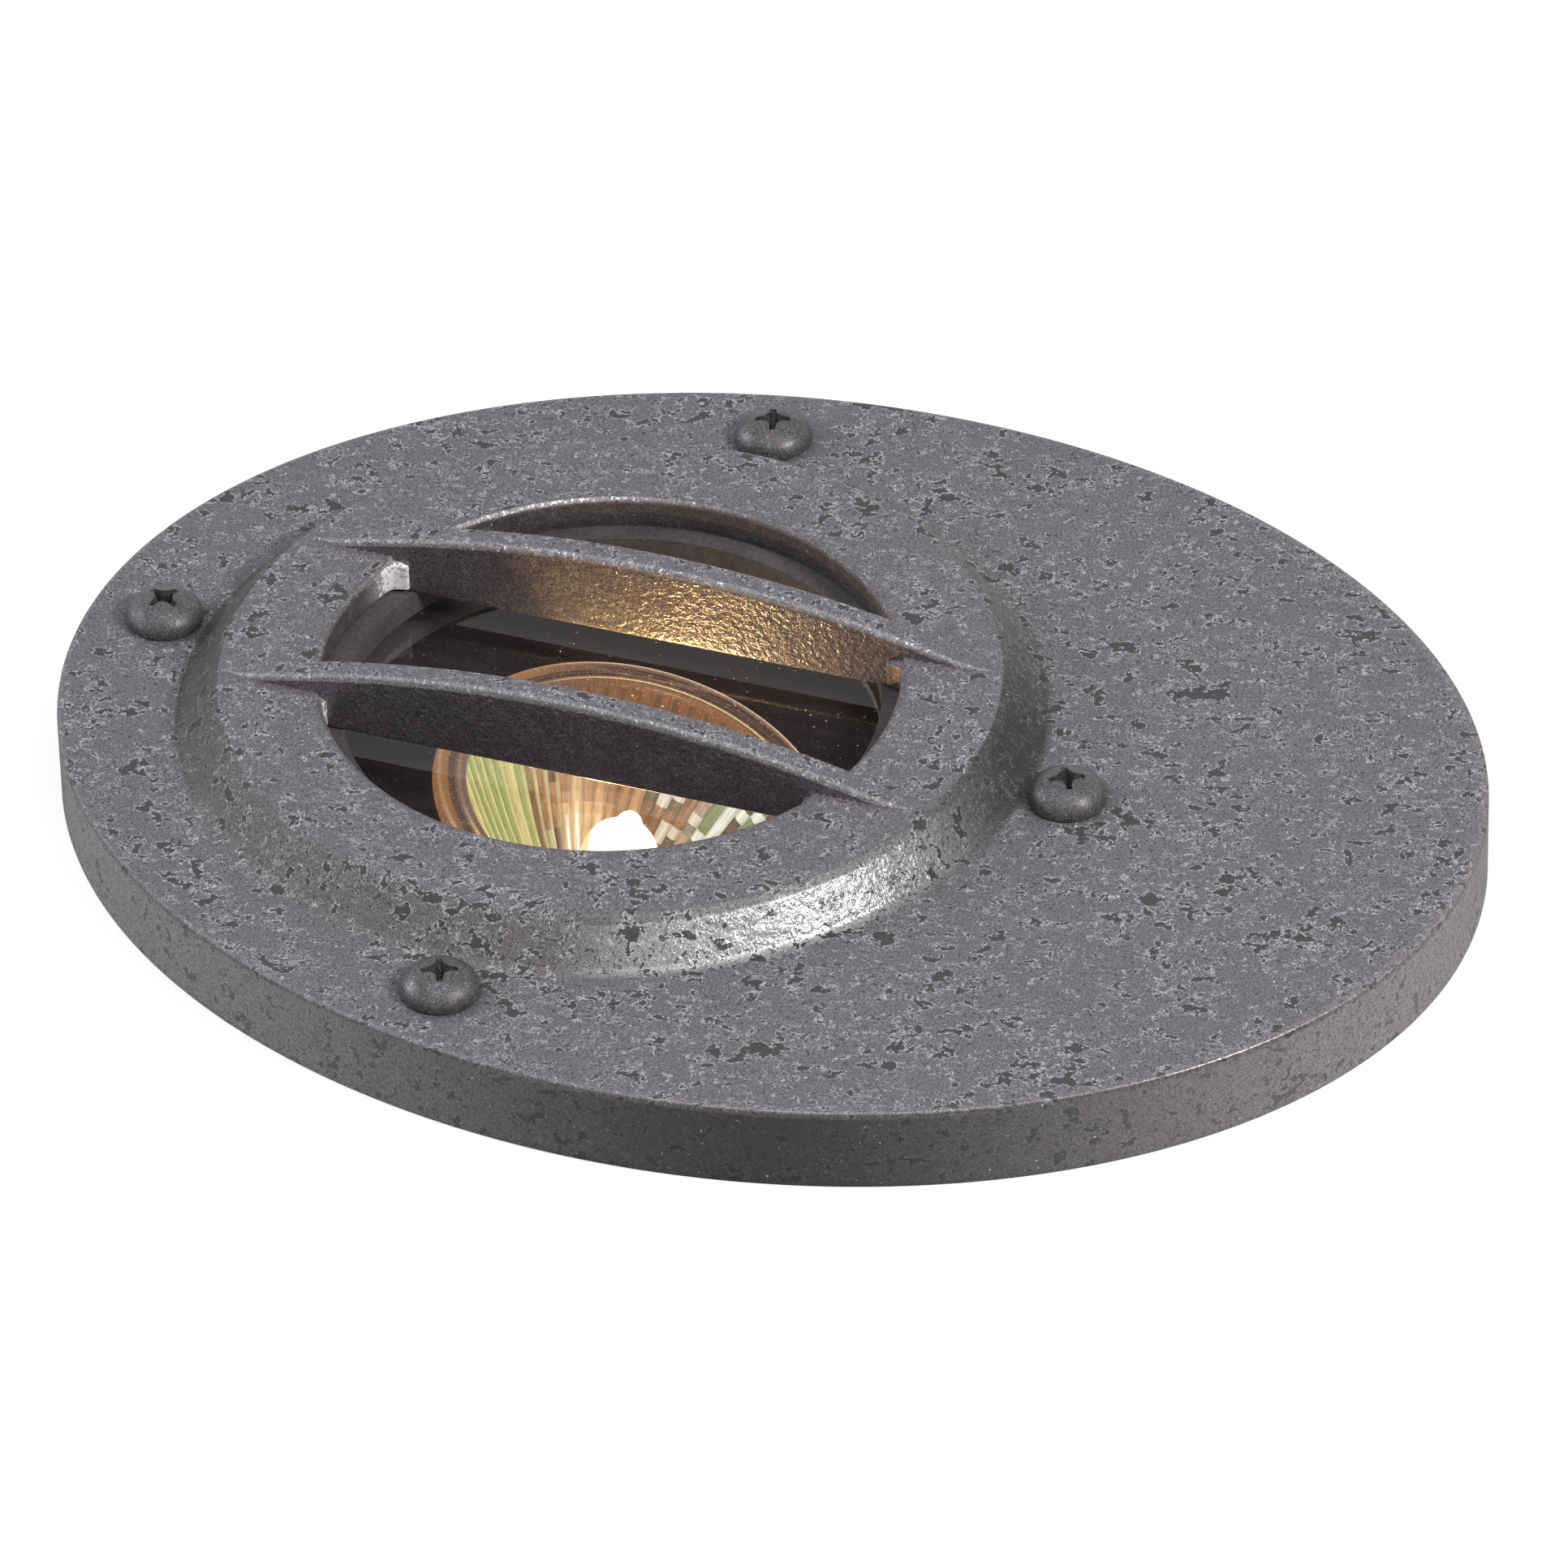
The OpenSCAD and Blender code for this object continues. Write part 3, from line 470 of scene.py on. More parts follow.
# The casting: its section at each angle, between a circle and the oval by share, raised beside the
# ribs and roughened a little along the normal
def coverCasting(material):
    s, rows, angle = casting, castingSection(), fullTurn(casting["columns"])[None]
    circle, inset, share, height, relief = (rows[:, k, None] for k in range(5))
    skin = {label: rows[:, 5 + k, None] + 0 * angle for k, label in enumerate(skinLabels)}
    reach = (1 - share) * circle + share * ovalReach(angle, inset)
    onWall = (skin["wall"] > 0.3) & (reach < s["aperture"] + 0.05 * mm) & (height > seatZ + 0.1 * mm)
    corner = s["cornerRound"]
    away = np.abs(np.abs(reach * np.sin(angle)) - rib["pitch"] / 2) - rib["thick"] / 2
    inside = np.clip(corner - away, 0, corner)
    bulge = np.where(onWall, corner - np.sqrt(np.maximum(corner ** 2 - inside ** 2, 0)), 0)
    reach = reach - bulge
    points = polar(reach, angle, height)
    x, y, z = np.moveaxis(points, -1, 0)
    onBoss = (z > bossZ - s["bossRound"]) & (reach > s["aperture"] - 0.1 * mm)
    raised = np.where(onBoss, ribFillet(x, y), 0) * np.clip((z - bossZ) / s["apertureRound"] + 1, 0, 1)
    points[..., 2] += raised
    cell = s["reliefCell"]
    rough = smoothNoise(points, cell, 3) + 0.6 * smoothNoise(points, 0.55 * cell, 5)
    rough = np.where(share > 0.99, np.maximum(rough, 0), rough)
    points = points + gridNormals(points, True, True) * (relief * rough)[..., None]

    # A bell about one of the places of painted shade and painted highlight, times its share
    def about(name):
        at, wide, most = paintedLightAndGloss[name]
        return most * bell(np.angle(np.exp(1j * (angle - math.radians(at)))), 0, math.radians(wide))

    # A share of the skin raised where it is less than another
    def atLeast(label, share):
        skin[label] = np.maximum(skin[label], share)

    onSlope = reach > s["aperture"] + s["apertureRound"]
    facing = (np.cos(angle - paintedLightAndGloss["glossAt"]) - paintedLightAndGloss["glossLow"]) / (paintedLightAndGloss["glossHigh"] - paintedLightAndGloss["glossLow"])
    facing = paintedLightAndGloss["glossLeast"] + (1 - paintedLightAndGloss["glossLeast"]) * np.clip(facing, 0, 1)
    skin["gloss"] *= np.where(onSlope, facing, 1)
    # Painted shade by angle: slopes darker at right and left, the side wall at front right and left end
    paintedShade = np.where(skin["side"] > 0.5, about("side") + about("end"), about("paintedShade") + about("left"))
    skin["paintedShade"] *= np.where(onSlope, paintedShade, 1)
    # Painted shade: a darker ring on the deck round each screw head, where its shadow falls
    flat = onSlope & (skin["slope"] < 0.1) & (skin["side"] < 0.1)
    for turn in np.arange(4) * math.pi / 2:
        away = np.hypot(x - screwCircle * math.cos(turn), y - screwCircle * math.sin(turn))
        gap = np.maximum(away - paintedLightAndGloss["screwShadeFrom"], 0)
        atLeast("paintedShade", paintedLightAndGloss["screwShadeShare"] * bell(gap, 0, paintedLightAndGloss["screwShadeWide"]) * flat)
    # Painted highlights: near-white glint patches on the aperture wall beside the ribs' left ends
    glint = np.clip(bulge / (0.12 * corner), 0, 1) * about("glint")
    glint = np.maximum(glint, about("backGlint") * onWall) * (height > bossZ - paintedLightAndGloss["glintDeep"])
    atLeast("wearAndHighlight", 1.3 * glint)
    skin["wall"] *= 1 - glint
    skin["paintedShade"] *= 1 - glint
    # Painted highlight: a pale line along the aperture's lip at the back left
    onLip = (np.abs(reach - s["aperture"]) < s["apertureRound"]) & (height > bossZ - s["apertureRound"])
    atLeast("wearAndHighlight", about("lip") * onLip)
    # Painted shade in the crease where each rib rises from the boss
    root = np.clip(raised / (0.4 * rib["fillet"]), 0, 1)
    atLeast("wall", root)
    atLeast("paintedShade", 0.5 * root)
    return gridPiece("cover_casting", [(points, True, True)], material, 40, skin)


# A rib: a section with rounded corners carried along X, its top on the arch, its underside flat
def coverRib(name, side, material):
    t = np.linspace(-1, 1, rib["stations"])
    x = (rib["reach"] - rib["least"]) * (0.35 * np.sin(t * math.pi / 2) + 0.65 * t)
    half = np.maximum(ribHalf(x), rib["least"])
    top, under = bossZ + archHeight(x), seatZ
    corner = np.minimum(rib["round"], 0.8 * half)
    turn = np.radians(np.linspace(0, 90, 6))
    bend = [(corner * (1 - math.cos(t)), corner * (1 - math.sin(t))) for t in turn]
    drop = [(top - corner) * (1 - t) + (under + corner) * t for t in between(0, 1, rib["sideSteps"])]
    ring = [(half - a, top - b, "flat") for a, b in bend]
    ring += [((half - corner) * t, top, "flat") for t in between(1, -1, 5)]
    ring += [(a - half, top - b, "wearAndHighlight") for a, b in bend[::-1]]
    ring += [(-half, z, "face") for z in drop]
    # The lower front corner is painted pale as a highlight from the lamp
    ring += [(a - half, under + b, "lampLitEdge" if 1 < k < 5 else "face") for k, (a, b) in enumerate(bend)]
    ring += [(half - a, under + b, "face") for a, b in bend[::-1]]
    ring += [(half, z, "face") for z in drop[::-1]]
    y, z = (np.stack([row[k] + 0 * x for row in ring]) for k in (0, 1))
    points = np.stack([x + 0 * y, y + side * rib["pitch"] / 2, z], -1)
    rough = np.minimum(smoothNoise(points, casting["reliefCell"], 7), 0)
    points = points + gridNormals(points, True, False) * (rib["relief"] * rough)[..., None]
    ends = [np.repeat(points[:, [i]].mean(0, keepdims=True), len(ring), 0) for i in (0, -1)]
    points = np.concatenate([ends[0], points, ends[1]], 1)
    skin = np.array([skins[row[2]] for row in ring])
    layers = {label: np.repeat(skin[:, [k]], points.shape[1], 1) for k, label in enumerate(skinLabels)}
    return gridPiece(name, [(points, True, False)], material, 40, layers)


# The paint: scales of its noise fields per metre, levels from and to which each mark grows, and depth
paint = {
    "turn": math.radians(19.6), "grain": 4300, "ragged": 3200, "drift": 120,
    "flake": 540, "flakeLevel": (0.594, 0.604), "outlineLevel": (0.562, 0.572),
    "worm": 1150, "wormLevel": (0.026, 0.012), "fleck": 1900, "fleckLevel": (0.604, 0.616),
    "fleckLineLevel": (0.576, 0.588), "wrinkle": 1350, "glint": 1500, "glintLevel": (0.90, 1.0),
    "depth": 0.19 * mm, "specular": 0.35,
}


# Places in the paint, turned to the way it was laid on and drawn out along it and across it
def paintPlace(along, across):
    place = add("TexCoord", output="Object")
    inputs = {"Vector": place, "Scale": (along, across, 1.0), "Rotation": (0, 0, paint["turn"])}
    return add("Mapping", inputs, vector_type="TEXTURE")


# Weathered iron paint over salt-and-pepper grain. Torn flakes and small flecks lie where a noise field
# passes a level, with a pale outline just below it; worms are thin pale lines along another field's
# middle level, each with a dark groove beside it. Slopes are wrinkled and glossy, walls dark
# Painted shade darkens parts of the slopes, sides and walls; painted highlights pale some edges and
# glints
def ironFinish():
    newFinish("weathered_iron")
    p = paint
    slope, wall, side, wearAndHighlight, gloss, paintedShade = (attribute(label) for label in skinLabels)
    fine, place = paintPlace(1.0, 1.45), paintPlace(1.15, 1.0)
    grain = cloud(fine, p["grain"], 2.0, 0.75)
    ragged = times(minus(cloud(fine, p["ragged"], 1.0, 0.6), 0.5), 0.07)
    drift = remap(cloud(place, p["drift"], 2.0, 0.5), 0.36, 0.64, -0.030, 0.035)
    field = plus(plus(cloud(place, p["flake"], 4.0, 0.62, 0.2), drift), ragged)
    flake = remap(field, *p["flakeLevel"])
    gate = remap(cloud(place, 900, 2.0), 0.34, 0.46, 0.2, 1.0)
    outline = times(minus(remap(field, *p["outlineLevel"]), flake), gate)
    worm = plus(cloud(place, p["worm"], 2.0, 0.6, 0.3), times(ragged, 0.6))
    patch = remap(cloud(place, 300, 1.0), 0.48, 0.56)
    line = times(remap(calc("ABSOLUTE", minus(worm, 0.5)), *p["wormLevel"]), patch)
    groove = minus(remap(worm, 0.520, 0.528), remap(worm, 0.556, 0.570))
    groove = times(larger(groove, 0.0), patch)
    small = cloud(paintPlace(1.1, 1.1), p["fleck"], 2.0, 0.62, 0.2)
    fleck = remap(small, *p["fleckLevel"])
    fleckLine = minus(remap(small, *p["fleckLineLevel"]), fleck)
    pale = larger(larger(outline, times(line, 0.65)), times(fleckLine, 0.5))
    dark = larger(larger(times(flake, 0.95), times(groove, 0.75)), times(fleck, 0.85))
    calm = minus(1.0, times(side, 0.45))
    pale, dark = times(pale, calm), times(dark, calm)
    share = remap(grain, 0.30, 0.70)
    polished = blendColour(share, (140, 138, 140), (188, 186, 189))
    bright = larger(remap(grain, 0.64, 0.70, 0.0, 0.8), times(pale, 0.3))
    skin = blendColour(bright, blendColour(share, (84, 79, 85), (136, 130, 137)), (186, 180, 182))
    glintBreakup = times(minus(cloud(paintPlace(0.8, 1.0), p["glint"], 3.0, 0.7), 0.5), 4.5)
    colour = layColours(
        blendColour(share, (78, 75, 79), (124, 121, 126)),
        (slope, blendColour(share, (62, 58, 59), (120, 115, 115))), (times(gloss, slope), polished),
        (side, blendColour(share, (124, 119, 121), (180, 175, 176))), (pale, (182, 179, 183)),
        (dark, (61, 58, 61)), (wall, skin),
        # Painted shade, by its share
        (times(paintedShade, 0.95), blendColour(pale, (40, 37, 39), (88, 84, 86))),
        # Pale wear and painted highlights, near white as painted glints where the share passes 0.9
        (times(wearAndHighlight, remap(grain, 0.35, 0.55, 0.2, 0.9)), (196, 193, 195)),
        (remap(plus(wearAndHighlight, glintBreakup), *p["glintLevel"]), (252, 251, 252)))
    wrinkle = times(plus(cloud(fine, p["wrinkle"], 2.0, 0.6, 0.4), times(grain, 0.15)), slope)
    height = minus(plus(wrinkle, times(grain, 0.08)), times(dark, 0.06))
    return finishWith(surface(
        Base_Color=colour, Roughness=remap(gloss, 0.0, 1.0, 0.65, 0.22), Metallic=times(gloss, 0.6),
        Normal=bump(height, p["depth"], 0.9), Specular_IOR_Level=p["specular"]))


print("making the cover")
iron = ironFinish()
castingPiece = coverCasting(iron)
ribPieces = [coverRib("cover_rib_back", 1, iron), coverRib("cover_rib_front", -1, iron)]
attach(castingPiece, "cover")
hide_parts("cover_plate")
for piece in ribPieces:
    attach(piece, "cover")


# Cover screws

# The recess: four narrow wings between four round lobes. Its outline in each direction is where a ray
# from the middle meets a wing's end, its side or a lobe. It narrows with depth
def recessCutter(s):
    angle = fullTurn(160)
    bend = np.abs((angle + math.pi / 4) % (math.pi / 2) - math.pi / 4)
    middle = s["wingHalf"] + s["lobe"]
    along = middle * (np.cos(bend) + np.sin(bend))
    inside = along ** 2 - 2 * middle ** 2 + s["lobe"] ** 2
    lobe = np.where(inside > 0, along - np.sqrt(np.maximum(inside, 0)), np.inf)
    half, sine, tangent = s["wingHalf"], np.maximum(np.sin(bend), 1e-9), np.maximum(np.tan(bend), 1e-9)
    side = np.where(half / tangent > middle, half / sine, np.inf)
    end = s["wingReach"] / np.cos(bend)
    outline = np.minimum(np.minimum(lobe, side), end)
    share, wide = np.array(s["recessRows"]).T[..., None]
    return polar(wide * outline, angle, s["height"] - share * s["recessDepth"])


# The head: a dome on a short straight edge, turned about the screw's axis
def headDome(s):
    radius = s["head"] / 2
    dome = np.radians(np.linspace(0, 90, 16))
    z = s["edge"] + (s["height"] - s["edge"]) * np.sin(dome)
    curve = np.stack([radius * np.cos(dome) ** 0.92, z], -1)
    profile = np.concatenate([[[0, 0], [radius - 0.25 * mm, 0], [radius, 0.2 * mm]], curve])
    return turned(profile, 72)


# The shank: a cylinder whose radius rises and falls with a thread's helix, its end drawn to a point
def shank(s):
    angle = fullTurn(28)[None]
    z = np.linspace(0.3 * mm, -s["length"], 110)[:, None]
    phase = (z / s["threadPitch"] - angle / (2 * math.pi)) % 1
    ridge = 1 - np.abs(2 * phase - 1)
    point = s["chamfer"] * np.clip((-z - s["length"] + s["chamfer"]) / s["chamfer"], 0, 1)
    radius = s["shank"] / 2 - np.maximum(s["threadDepth"] * (1 - ridge), point)
    radius, z = np.pad(radius, ((1, 1), (0, 0))), np.pad(z, ((1, 1), (0, 0)), "edge")
    return polar(radius, angle, z)


# The mesh of a piece after another is cut out of it
def cutMesh(piece, cutter):
    modifier = piece.modifiers.new("recess", "BOOLEAN")
    modifier.operation = "DIFFERENCE"
    modifier.solver = "EXACT"
    modifier.object = cutter
    mesh = bpy.data.meshes.new_from_object(piece.evaluated_get(bpy.context.evaluated_depsgraph_get()))
    for used in (piece, cutter):
        bpy.data.objects.remove(used)
    return mesh


# Black oxide on steel: dark, with pale worn speckle and darker patches
def screwFinish():
    newFinish("dark_bronze_screw")
    place = objectPlace()
    grain = cloud(place, 3900, 3.0, 0.75)
    patch = cloud(place, 480, 3.0, 0.6, 0.3)
    wearAndHighlight = times(remap(grain, 0.56, 0.68), remap(patch, 0.46, 0.60, 0.05, 0.6))
    colour = layColours(
        (50, 47, 51), (remap(grain, 0.3, 0.7), (106, 102, 107)), (wearAndHighlight, (176, 173, 176)),
        (remap(patch, 0.36, 0.46, 0.5, 0.0), (58, 55, 58)))
    normal = bump(plus(grain, times(patch, 2.0)), 0.03 * mm, 0.8)
    rough = remap(patch, 0.3, 0.7, 0.48, 0.34)
    return finishWith(surface(Base_Color=colour, Roughness=rough, Normal=normal, Metallic=0.35))


# The four screws, each turned its own way in its place on their circle
def coverScrews(material):
    s, sources = screwShape, []
    for shape in (headDome, recessCutter, shank):
        sources.append(gridPiece(shape.__name__, [(shape(s), False, True)], material, 35))
    work, joined = bmesh.new(), bpy.data.meshes.new("cover_screw_set")
    shankMesh = sources[2].data
    bpy.data.objects.remove(sources[2])
    headMesh = cutMesh(*sources[:2])
    for k, turn in enumerate(s["turns"]):
        around = Matrix.Rotation(k * math.pi / 2, 4, "Z") @ Matrix.Translation((screwCircle, 0, deckZ))
        spin = Matrix.Rotation(math.radians(turn) - k * math.pi / 2, 4, "Z")
        for source in (headMesh, shankMesh):
            copied = source.copy()
            copied.transform(around @ spin)
            work.from_mesh(copied)
    work.to_mesh(joined)
    work.free()
    return meshPiece("cover_screw_set", joined, material, 28)


print("making the cover screws")
screwPiece = coverScrews(screwFinish())
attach(screwPiece, "cover")
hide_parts("cover_screws")


# Reflector lamp

lamp = metres({
    "radius": 25.2, "rimZ": 11.0, "rimThick": 1.8, "rimInner": 21.2, "rimRound": 0.8, "ledge": 0.9,
    "baseZ": -27.5, "neck": 8.8, "neckInner": 7.3, "neckHeight": 8.0, "bandInner": 23.9, "bandGap": 0.4,
    "bowlFloor": -10.0, "facetStep": 0.10, "flute": 0.18, "capsule": 4.8, "capsuleTop": 6.3,
    "cementTop": -17.0, "pip": 1.8, "pipHeight": 2.7, "pinPitch": 5.33,
    "rimLip": 0.35, "ringDip": 0.07, "ringPitch": 0.95, "rimSag": 0.3,
}) | {"rimRings": 34, "bowlPower": 0.55, "innerPower": 0.7, "facetColumns": 60, "facetRows": 17}


# The bowl's inner radius at a height: the power curve of the glass
def bowlRadius(z):
    low = lamp["bowlFloor"]
    share = np.clip((z - low) / (lamp["rimZ"] - lamp["ledge"] - low), 0, 1)
    return lamp["neckInner"] + (lamp["rimInner"] - lamp["neckInner"]) * share ** lamp["innerPower"]


# Colours of many places, from three screen values or many, laid one over another by shares
def layTints(tintAndReflection, *layers):
    # Three screen values as a linear colour
    def linear(values):
        return np.array(screen(*values)[:3]) if len(np.shape(values)) == 1 else values

    tintAndReflection = linear(tintAndReflection)
    for share, over in layers:
        tintAndReflection = tintAndReflection + np.asarray(share)[..., None] * (linear(over) - tintAndReflection)
    return tintAndReflection


# Dichroic tints and painted reflections of each facet, by its share of a half turn and its row: green
# flutes to the left, then green, brown and dark blocks, streaked brown with a painted glow behind the
# capsule, cream blocks over brown, and green and white stripes to the right; the cream and white are
# painted reflections. The rows below the rim are plain brown
def facetTintsAndReflections(around, random):
    rows = lamp["facetRows"]
    share = np.abs(around)
    row = np.arange(rows)[:, None] + 0 * around
    draw = random.uniform(0, 1, (rows, len(around)))
    pick = random.uniform(0, 1, (rows, len(around)))
    column = random.uniform(0, 1, len(around)) + 0 * draw
    start = random.integers(4, 14, len(around))
    run = random.integers(1, 3, len(around))
    block = ((row >= start) & (row < start + run)) | ((row - start) % 4 == 0) & (pick > 0.2)
    green = layTints((128, 138, 78), (0.15 * draw + 0.85 * column, (166, 168, 104)))
    twice = np.repeat(pick[::2], 2, 0)[:rows]
    mixed = layTints(
        (138, 94, 60), (0.5 * draw + 0.5 * twice, (178, 138, 92)), (twice > 0.50, (100, 64, 44)),
        (twice > 0.72, (156, 150, 94)), (twice > 0.90, (232, 208, 156)))
    turn = np.arange(len(around)) % 3 + 0 * draw
    gap = (turn == 1) * (share < 0.905)
    striped = layTints(
        green, ((turn == 0) * (share < 0.94), (196, 180, 122)), (0.9 * gap, (146, 112, 72)),
        (0.8 * gap * (twice > 0.6), (112, 82, 54)))
    # Painted glow behind the capsule, in the deeper rows
    glow = bell(share, 0.70, 0.10) * rise(row, 9.5, 6.0)
    brown = layTints(
        (134, 84, 52), (0.3 * draw + 0.7 * column, (212, 158, 114)),
        (0.7 * ((column > 0.45) & (column < 0.62)), (226, 188, 146)), (0.55 * glow, (255, 214, 160)))
    cream = layTints(
        (120, 82, 54), (0.6 * draw + 0.4 * column, (176, 130, 94)), (0.7 * (pick > 0.8), (98, 92, 72)),
        (block, (222, 206, 190)))
    stripe = layTints(
        (104, 78, 54), (column > 0.30, (132, 144, 98)),
        ((column > 0.74) | (block & (pick > 0.4)), (234, 230, 220)))
    plain = rise(row, 12.4, 13.4) * rise(share, 0.84, 0.80) * rise(share, 0.36, 0.42)
    return layTints(
        stripe, (rise(share, 0.34, 0.40), cream), (share > 0.53, brown), (share > 0.75, mixed),
        (share > 0.84, striped), (plain, (134, 90, 58)))


# The rim's glass. At the back two bright lines, painted highlights, with dark brown and fine rings
# between.
# To the left an orange-brown outer band, a grey one and a pale one
def rimTintAndHighlights(radius, around):
    left = rise(np.abs(around), 0.62, 0.84)
    radius = radius / mm + 0 * around
    violet = 0.8 * bell(radius, 21.3, 0.12) * rise(left, 0.6, 0.9)
    return layTints(
        (52, 32, 25), (0.5 + 0.5 * np.sin(radius * 12), (92, 62, 48)),
        (rise(radius, 21.9, 21.5) * (1 - left), (128, 84, 54)),
        (0.85 * rise(radius, 23.3, 23.8) * left, (152, 104, 62)),
        (0.8 * rise(radius, 22.8, 22.3) * left, (116, 88, 70)),
        (bell(radius, 24.70, 0.24) * (1 - 0.85 * left), (240, 196, 166)),
        (0.6 * bell(radius, 25.15, 0.15) * (1 - left), (190, 84, 44)),
        (bell(radius, 22.15, 0.22) * (1 - 0.9 * left), (250, 212, 160)),
        (violet, (120, 92, 136)))


# The reflector, one closed grid turned about the lamp's axis: facets that step in and out at random,
# each column a shallow flute, a rim with fine rings, the smooth outer bowl and the neck
def reflector(material):
    s = lamp
    random = np.random.default_rng(11)
    rows, columns = s["facetRows"], s["facetColumns"]
    across = np.array([-0.47, -0.25, 0, 0.25, 0.47])
    angle = 2 * math.pi * (np.arange(columns)[:, None] + 0.5 + across).ravel() / columns
    around = np.angle(np.exp(1j * angle)) / math.pi
    across = np.tile(across, columns)
    low, high = s["bowlFloor"], s["rimZ"] - s["ledge"]
    edges = low + (high - low) * np.linspace(0, 1, rows + 1) ** 1.35
    middle = around[2::5]
    step = random.uniform(-1, 1, (rows, columns)) * s["facetStep"] * (1 - rise(np.abs(middle), 0.5, 0.7))
    tintsAndReflections = facetTintsAndReflections(middle, random)
    grid, tintAndReflection = [], []

    # One ring of the grid with its colours
    def addRing(radius, z, colour):
        grid.append(polar(radius, angle, z))
        tintAndReflection.append(colour + 0 * angle[:, None])

    # The neck's inside is painted as a bright warm glow near the filament; the outer bowl is dark brown
    neckGlow, shell = layTints((250, 190, 120)), layTints((70, 34, 22))
    addRing(s["neckInner"], s["baseZ"], neckGlow)
    addRing(s["neckInner"], low - 0.4 * mm, neckGlow)
    gap = 0.04 * mm
    flute = -s["flute"] * (1 - (2 * across) ** 2)
    # Painted highlights and shade on each flute: a cream line by one edge, white flashes, shade towards
    # its edges
    line = np.clip(1.4 - np.abs(across + 0.36) / 0.14, 0, 1) * rise(np.abs(around), 0.70, 0.80)
    flash = bell(np.abs(around), 0.70, 0.085) * bell(across, 0, 0.17)
    flash = flash * np.repeat(random.uniform(-1.4, 2.2, columns), 5)
    shade = 1.0 - 0.42 * np.clip(np.abs(across - 0.08) * 2, 0, 1) ** 2
    for row in range(rows):
        offset = np.repeat(step[row], 5) + flute
        colour = layTints(
            np.repeat(tintsAndReflections[row], 5, 0) * shade[:, None], (0.75 * line, (240, 222, 168)),
            (np.clip(flash * rise(row, 8.0, 4.5), 0, 1), (255, 250, 236)))
        for z in (edges[row] + gap, edges[row + 1] - gap):
            addRing(bowlRadius(z) + offset, z, colour)
    addRing(s["rimInner"], high, rimTintAndHighlights(s["rimInner"], around))
    lip = s["rimLip"]
    rim = [(s["rimInner"], s["rimZ"] - lip)]
    rim += list(arc(s["rimInner"] + lip, s["rimZ"] - lip, lip, 180, 90, 4))
    ringFrom, ringTo = s["rimInner"] + 0.5 * mm, s["radius"] - s["rimRound"] - 0.05 * mm
    for radius in np.linspace(ringFrom, ringTo, s["rimRings"]):
        dip = s["ringDip"] * (0.5 - 0.5 * math.cos(2 * math.pi * (radius - ringFrom) / s["ringPitch"]))
        sag = s["rimSag"] * math.sin(math.pi * (radius - ringFrom) / (ringTo - ringFrom))
        rim.append((radius, s["rimZ"] - dip - sag))
    rim += list(arc(s["radius"] - s["rimRound"], s["rimZ"] - s["rimRound"], s["rimRound"], 90, 0, 9))
    bandTop = s["rimZ"] - s["rimThick"]
    rim += [(s["radius"], bandTop + 0.2 * mm), (s["radius"] - 0.2 * mm, bandTop)]
    for radius, z in rim:
        addRing(radius, z, rimTintAndHighlights(radius, around))
    shoulder = s["baseZ"] + s["neckHeight"]
    for t in np.linspace(1, 0, 18):
        radius = s["neck"] + (s["bandInner"] - s["bandGap"] - s["neck"]) * t ** s["bowlPower"]
        addRing(radius, shoulder + (bandTop - shoulder) * t, shell)
    addRing(s["neck"], s["baseZ"] + 0.3 * mm, shell)
    addRing(s["neck"] - 0.3 * mm, s["baseZ"], shell)
    local = np.array(grid)
    layers = {
        "tintAndReflection": np.array(tintAndReflection), "around": np.tile(around, (len(grid), 1)),
        "depth": (s["rimZ"] - local[..., 2]) / mm,
    }
    return gridPiece("reflector_bowl", [(toLamp(local), True, True)], material, 12, layers)


# The quartz capsule: a straight wall with a domed end and the pip where it was sealed
def capsule(material):
    s = lamp
    domeZ = s["capsuleTop"] - s["capsule"]
    dome = arc(0, domeZ, s["capsule"], 0, 76, 14)
    pipBase = domeZ + math.sqrt(s["capsule"] ** 2 - s["pip"] ** 2)
    pip = arc(0, pipBase + s["pipHeight"] - s["pip"] * 0.9, s["pip"] * 0.9, 0, 90, 7)
    profile = np.concatenate([[[0, s["cementTop"]], [s["capsule"], s["cementTop"]]], dome, pip])
    local = turned(profile, 48)
    low = (s["capsuleTop"] - local[..., 2]) / mm
    return gridPiece("quartz_capsule", [(toLamp(local), False, True)], material, 50, {"low": low})


coil = metres({
    "under": 8.0, "length": 5.0, "radius": 0.75, "wire": 0.11, "stem": 0.14, "apart": 0.9, "foot": 0.5,
    "arch": 0.15,
}) | {"turns": 14, "perTurn": 14}


# The filament: a fine wire wound as a coil that stands along the lamp's axis, on two stems
def filament(material):
    s, foot, top = coil, lamp["cementTop"] - coil["foot"], lamp["capsuleTop"] - coil["under"]
    t = np.linspace(0, 1, s["turns"] * s["perTurn"])
    wound = polar(s["radius"], 2 * math.pi * s["turns"] * t, top - s["length"] * t)
    near, far, t = s["radius"], -s["radius"] - s["apart"], np.linspace(0, 1, 12)
    stems = [np.linspace((x, 0, z), (x, 0, foot), 12) for x, z in ((near, top - s["length"]), (far, top))]
    hook = np.stack([near + (far - near) * t, 0 * t, top + s["arch"] * np.sin(math.pi * t)], -1)
    grids = [(toLamp(tube(wound, s["wire"], 6)), False, True)]
    grids += [(toLamp(tube(path, s["stem"], 8)), False, True) for path in stems + [hook]]
    return gridPiece("coiled_filament", grids, material, 60)


